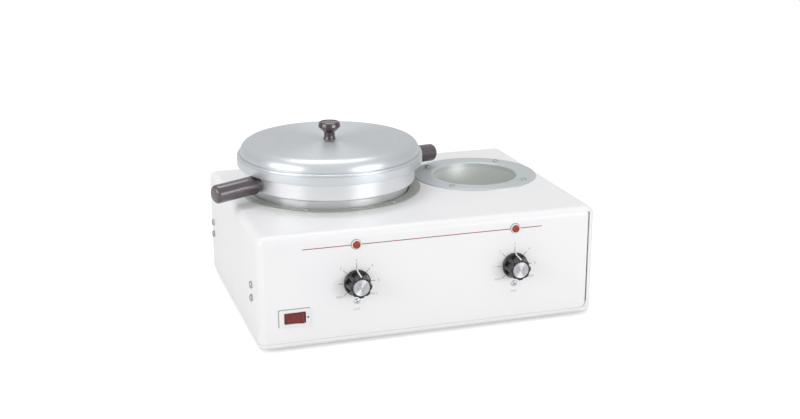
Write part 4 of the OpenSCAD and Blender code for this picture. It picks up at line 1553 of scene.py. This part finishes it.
@dataclass
class Stripe:
    """The thin painted line across the panel, broken at the lamps."""

    left: float = 43.8
    right: float = 59.8
    thickness: float = 0.85
    clear: float = 5.8
    proud: float = 0.05

    def build(self) -> None:
        """Lays the line's three stretches on the panel."""
        hood = Extent.of("hood")
        lamps = [Extent.of(f"{side}_lamp_lens").middle for side in ("left", "right")]
        stops = [hood.low.x + self.left, lamps[0].x - self.clear, lamps[0].x + self.clear,
                 lamps[1].x - self.clear, lamps[1].x + self.clear, hood.high.x - self.right]
        half = self.thickness / 2
        mesh = bmesh.new()
        for start, end in zip(stops[::2], stops[1::2]):
            outline = arc(end, 0, half, -90, 90) + arc(start, 0, half, 90, 270)
            mesh.faces.new([mesh.verts.new((x * MM, y * MM, 0)) for x, y in outline])
        seat(finished(mesh, "panel_line"), "housing", "white_enamel", look="red_ink",
             at=on_panel(0, lamps[0].z, self.proud))


@dataclass
class RockerSwitch:
    """The bezel with its case and a grey ring that paints its shadow line, the translucent rocker
    and the mark beside it.
    """

    bezel: tuple[float, float] = (31.0, 17.5)
    bezel_rise: float = 1.8
    corner: float = 1.4
    rim_round: float = 0.5
    mouth: tuple[float, float] = (21.2, 11.6)
    mouth_round: float = 0.35
    case: tuple[float, float] = (25.6, 14.6)
    case_corner: float = 0.4
    case_depth: float = 20.0
    chamber: tuple[float, ...] = (-0.1, -2.0, -4.0, -7.0, -10.0, -13.0, -15.0)
    swing: float = 11.3
    pivot_in: float = 4.0
    rocker: float = 11.0
    rocker_height: float = 11.0
    peak: float = 6.4
    dip: float = 4.6
    heel: float = 3.0
    rocker_round: float = 0.45
    lean: float = -9.0
    dot_radius: float = 0.95
    dot_out: float = 12.9
    # The grey ring's rise, reach, overlap and shift up and left paint the bezel's shadow line.
    gasket: float = 0.3
    gasket_wider: float = 0.6
    gasket_lap: float = 3.0
    gasket_off: float = 0.25
    off_panel: float = 0.02

    def ring(self, wide: float, high: float, corner: float, out: float) -> list[Vector]:
        """A rounded rectangle.

        Args:
            wide: Its width.
            high: Its height.
            corner: The radius of its corners.
            out: How far it stands out of the panel.

        Returns:
            Its points, in order.
        """
        points = []
        for index, (sx, sy) in enumerate(((1, 1), (-1, 1), (-1, -1), (1, -1))):
            x, y = sx * (wide / 2 - corner), sy * (high / 2 - corner)
            points += [Vector((*point, out))
                       for point in arc(x, y, corner, 90 * index, 90 * index + 90)]
        return points

    def bezel_skin(self) -> bpy.types.Object:
        """Lofts the case, the bezel and the chamber that the rocker swings in.

        Returns:
            The bezel, its seat on Z = 0.
        """
        wide, high = self.bezel
        mouth_w, mouth_h = self.mouth
        rings = [self.ring(*self.case, self.case_corner, -self.case_depth),
                 self.ring(*self.case, self.case_corner, 0.0),
                 self.ring(wide, high, self.corner, 0.0)]
        soft = self.rim_round
        for across, up in arc(0, 0, soft, 0, 90, 4):
            inset = 2 * (soft - across)
            rings.append(self.ring(wide - inset, high - inset, self.corner - inset / 3,
                                   self.bezel_rise - soft + up))
        soft = self.mouth_round
        for across, up in arc(0, 0, soft, 90, 0, 4):
            grow = 2 * (soft - across)
            rings.append(self.ring(mouth_w + grow, mouth_h + grow, 0.5 + grow / 4,
                                   self.bezel_rise - soft + up))
        for depth in self.chamber:
            reach = math.sqrt(max(self.swing ** 2 - (depth + self.pivot_in) ** 2, 1.0))
            across = mouth_w if depth == self.chamber[0] else 2 * reach
            rings.append(self.ring(across, mouth_h, self.case_corner, depth))
        return loft("switch_bezel", rings)

    def rocker_body(self) -> bpy.types.Object:
        """Extrudes the rocker's shallow V with round ends and rounds its rims.

        Returns:
            The rocker, its pivot on the Z axis.
        """
        reach = math.sqrt(self.rocker ** 2 - self.peak ** 2)
        tip, heel = (math.degrees(math.asin(up / self.rocker)) for up in (self.peak, self.heel))
        outline = rounded([Knot(-reach, -self.peak), Knot(-reach * 0.3, -self.dip, 3.0),
                           Knot(reach * 0.3, -self.dip, 3.0), Knot(reach, -self.peak)])
        outline += arc(0, 0, self.rocker, -tip, heel, 8)[1:]
        outline += arc(0, 0, self.rocker, 180 - heel, 180 + tip, 8)[:-1]
        half = self.rocker_height / 2
        return prism("red_rocker", outline, -half, half, bevel=self.rocker_round)

    def gasket_ring(self) -> bpy.types.Object:
        """Lofts the thin grey ring that shows round the bezel as a painted shadow line.

        Returns:
            The ring, its back just off Z = 0.
        """
        low, high = self.off_panel, self.gasket
        rings = [self.ring(*(side + wider for side in self.bezel), self.corner, out)
                 for wider, out in ((self.gasket_wider, low), (self.gasket_wider, high),
                                    (-self.gasket_lap, high), (-self.gasket_lap, low))]
        return loft("switch_shadow_ring", rings, capped=False)

    def build(self) -> None:
        """Builds the switch and sets it in the panel."""
        middle, front = Extent.of("switch_case").middle, Extent.of("hood").low.y
        x, z = middle.x, middle.z
        seat(self.bezel_skin(), "housing", "white_plastic", "switch_case", at=on_panel(x, z))
        seat(self.rocker_body(), "rocker", "red_rocker", "switch_rocker",
             at=spot((x, front + self.pivot_in, z), Turn.UP, self.lean))
        dot = [(0, 0.03), (self.dot_radius, 0.03), (self.dot_radius, 0)]
        seat(lathe("switch_dot", dot, segments=32), "housing", "white_plastic", look="dark_ink",
             at=on_panel(x + self.dot_out, z, self.bezel_rise))
        # Set off up and left, the grey ring shows on the bezel's left and top: a painted shadow
        # line.
        seat(self.gasket_ring(), "housing", "white_plastic", look="painted_shadow_grey",
             at=on_panel(x - self.gasket_off, z + self.gasket_off))


@dataclass
class SlitPaint:
    """Enamel that bridges the left slit and both bend reliefs, and what backs the right slit."""

    flange: float = 7.5
    bend: float = 8.0
    corner: float = 7.0
    slit_down: float = 3.0
    relief: float = 1.6
    thick: float = 0.6
    under: float = 0.1
    left_gap: float = 0.2
    left_half: float = 0.2
    right_gap: float = 0.9
    right_half: float = 2.4
    right_under: float = 3.2
    relief_halves: tuple[float, float] = (1.4, 2.1)
    turn_steps: int = 9
    rise_steps: int = 24
    relief_steps: int = 4

    def strip(self, name: str, half: float, under: float,
              path: Iterable[tuple[float, float, float]]) -> None:
        """Lays one strip under the hood's face, round its bend where it gets there.

        Args:
            name: The strip's name.
            half: Half its width.
            under: Its depth under the face.
            path: For each point across and up, and the angle of the strip's width.
        """
        hood = Extent.of("hood")
        back = Vector((0, self.thick, 0))
        rings = []
        for x, z, angle in path:
            over = max(0.0, z - (hood.high.z - self.bend))
            face = hood.low.y + self.bend - math.sqrt(self.bend ** 2 - over ** 2) + under
            side = Vector((math.cos(angle), 0, math.sin(angle))) * half
            middle = Vector((x, face, z))
            rings.append([middle - side, middle + side, middle + side + back,
                          middle - side + back])
        seat(loft(name, rings), "housing", "white_enamel")

    def run(self, x: float, side: int, gap: float) -> list[tuple[float, float, float]]:
        """Follows one slit from the middle of its lower bend up to its relief.

        Args:
            x: The slit's place across.
            side: 1 where it bends to the right at its lower end, -1 where to the left.
            gap: How far the strip runs outside the panel's edge.

        Returns:
            The path's points across and up, with their angles.
        """
        hood = Extent.of("hood")
        top, low = hood.high.z - self.slit_down, hood.low.z + self.corner
        radius = self.corner + gap
        angles = [math.pi / 2 * step / self.turn_steps for step in range(self.turn_steps, 0, -1)]
        turn = [(x + side * radius * (1 - math.cos(a)), low - radius * math.sin(a), side * a)
                for a in angles]
        steps = self.rise_steps
        return turn + [(x, low + (top - low) * step / steps, 0.0) for step in range(steps + 1)]

    def build(self) -> None:
        """Fills the left slit and both reliefs, and backs the right slit."""
        hood = Extent.of("hood")
        left, right = hood.low.x + self.flange, hood.high.x - self.flange
        self.strip("left_slit_paint", self.left_half, self.under, self.run(left, 1, self.left_gap))
        self.strip("right_slit_backing", self.right_half, self.right_under,
                   self.run(right, -1, self.right_gap))
        top, steps = hood.high.z - self.slit_down, self.relief_steps
        for name, x, half in zip(("left", "right"), (left, right), self.relief_halves):
            self.strip(f"{name}_relief_paint", half, self.under,
                       [(x, top - self.relief * step / steps, 0.0) for step in range(steps + 1)])


@dataclass
class DialScrews:
    """The screw under each dial."""

    down: float = 19.6
    first_spin: float = 18.0
    next_spin: float = 40.0
    screw: PanHead = PanHead(head=2.9, rise=1.6)

    def build(self) -> None:
        """Sets both screws."""
        places = []
        for i, side in enumerate(("left", "right")):
            middle = Extent.of(f"{side}_knob_cap").middle
            spin = self.first_spin + self.next_spin * i
            places.append(on_panel(middle.x, middle.z - self.down, spin=spin))
        self.screw.fit("dial_pan_screws", places, "dial_screws", "polished_steel")


# The studio


@dataclass(frozen=True)
class Softbox:
    """A rectangular softbox that faces the warmer, in metres and watts."""

    name: str
    place: tuple[float, float, float]
    size: tuple[float, float]
    power: float
    aim: tuple[float, float, float] = (0.0, 0.0, 0.1)

    def hang(self) -> None:
        """Hangs the softbox in its place."""
        data = bpy.data.lights.new(self.name, "AREA")
        data.shape, data.energy = "RECTANGLE", self.power
        data.size, data.size_y = self.size
        lamp = bpy.data.objects.new(self.name, data)
        lamp.location = self.place
        towards = Vector(self.aim) - Vector(self.place)
        lamp.rotation_euler = towards.to_track_quat("-Z", "Y").to_euler()
        bpy.context.scene.collection.objects.link(lamp)


@dataclass
class Studio:
    """The pale floor, the soft light and the camera, in metres and degrees."""

    lens: float = 57.47
    sensor: float = 36.0
    camera_place: tuple[float, float, float] = (-0.38319, -1.2430, 0.4937)
    camera_turn: tuple[float, float, float] = (72.97, 0.0, -17.81)
    floor_size: float = 24.0
    floor_tone: float = 0.8
    floor_mottle: float = 0.99
    floor_lift: float = 0.43
    world_strength: float = 0.745
    rear_share: float = 0.8
    side_share: float = 0.85
    zenith_share: float = 1.1
    softboxes: tuple[Softbox, ...] = (
        Softbox("overhead_softbox", (0.0, 0.5, 1.75), (1.2, 0.4), 7.5),
        Softbox("left_softbox", (-1.58, -0.5, 0.62), (1.2, 0.6), 8.5),
        Softbox("right_softbox", (0.95, -1.55, 0.42), (1.1, 0.42), 8.7),
    )

    def camera(self) -> None:
        """Sets the camera at the photographed view."""
        data = bpy.data.cameras.new("camera")
        data.lens, data.sensor_width = self.lens, self.sensor
        data.clip_start, data.clip_end = 0.05, 60.0
        seen = bpy.data.objects.new("camera", data)
        seen.location = self.camera_place
        seen.rotation_euler = [math.radians(a) for a in self.camera_turn]
        bpy.context.scene.collection.objects.link(seen)
        bpy.context.scene.camera = seen

    def floor(self) -> None:
        """Lays a pale floor that reads white to the camera and keeps the shadow."""
        mesh = bmesh.new()
        bmesh.ops.create_grid(mesh, x_segments=8, y_segments=8, size=self.floor_size / 2)
        floor = finished(mesh, "floor")
        surface = Surface("pale_floor")
        cloud = surface.remap(surface.noise(surface.place, scale=3.0), 0.3, 0.7, 0.0, 1.0)
        tones = [(self.floor_tone * share,) * 3 for share in (self.floor_mottle, 1.0)]
        seen = surface.node("ShaderNodeLightPath").outputs
        direct = surface.math("MAXIMUM", seen["Is Camera Ray"], seen["Is Transmission Ray"])
        surface.set(Base_Color=surface.blend(cloud, *tones), Roughness=0.9,
                    Specular_IOR_Level=0.0, Emission_Color=(1.0, 1.0, 1.0, 1.0),
                    Emission_Strength=surface.math("MULTIPLY", direct, self.floor_lift))
        floor.data.materials.append(surface.material)

    def world(self) -> None:
        """Surrounds the scene with a soft pale room that reads white to the camera."""
        world = bpy.data.worlds.new("room")
        bpy.context.scene.world = world
        world.use_nodes = True
        graph = Graph(world.node_tree)
        background = next(n for n in world.node_tree.nodes if n.type == "BACKGROUND")
        x, y, z = graph.axes(graph.node("ShaderNodeTexCoord").outputs["Generated"])
        depth = graph.remap(y, -1.0, 1.0, 1.0, self.rear_share)
        sides = graph.remap(graph.math("ABSOLUTE", x), 0.25, 1.0, 1.0, self.side_share)
        zenith = graph.remap(z, 0.2, 1.0, 1.0, self.zenith_share)
        level = graph.math("MULTIPLY", graph.math("MULTIPLY", depth, sides), zenith)
        lit = graph.math("MULTIPLY", level, self.world_strength)
        seen = graph.node("ShaderNodeLightPath").outputs["Is Camera Ray"]
        graph.feed(background.inputs["Strength"], graph.math("MAXIMUM", lit, seen))
        background.inputs["Color"].default_value = (1.0, 1.0, 1.0, 1.0)

    def build(self) -> None:
        """Builds the studio and sets the plain view transform."""
        bpy.context.scene.view_settings.view_transform = "Standard"
        self.camera()
        self.floor()
        self.world()
        for softbox in self.softboxes:
            softbox.hang()


def main() -> None:
    """Builds the warmer's pieces in order and the studio round them."""
    logging.basicConfig(level=logging.INFO, format="%(message)s")
    Studio().build()
    Housing().build()
    # The left well wears the darker copy of the well metal, which paints the shade under the pot.
    Well("left", mouth=84.0, ring=91.2, screws=6, first_angle=0.0,
         screw=PanHead(head=2.6, rise=1.5), metal="shaded_well_aluminium").build()
    Well("right", mouth=45.7, ring=58.3, screws=4, first_angle=45.0,
         screw=PanHead(head=3.1, rise=1.8), metal="well_aluminium").build()
    Pot().build()
    Grip("left_handle", 200.0).build()
    Grip("right_handle", 20.0).build()
    Lid().build()
    LidKnob().build()
    for side in ("left", "right"):
        Dial(side).build()
        DialPrint(side).build()
        Lamp(side).build()
    DialScrews().build()
    SlitPaint().build()
    Stripe().build()
    RockerSwitch().build()
    InnerParts(Housing.cad_nodes).build()


if __name__ == "__main__":
    main()
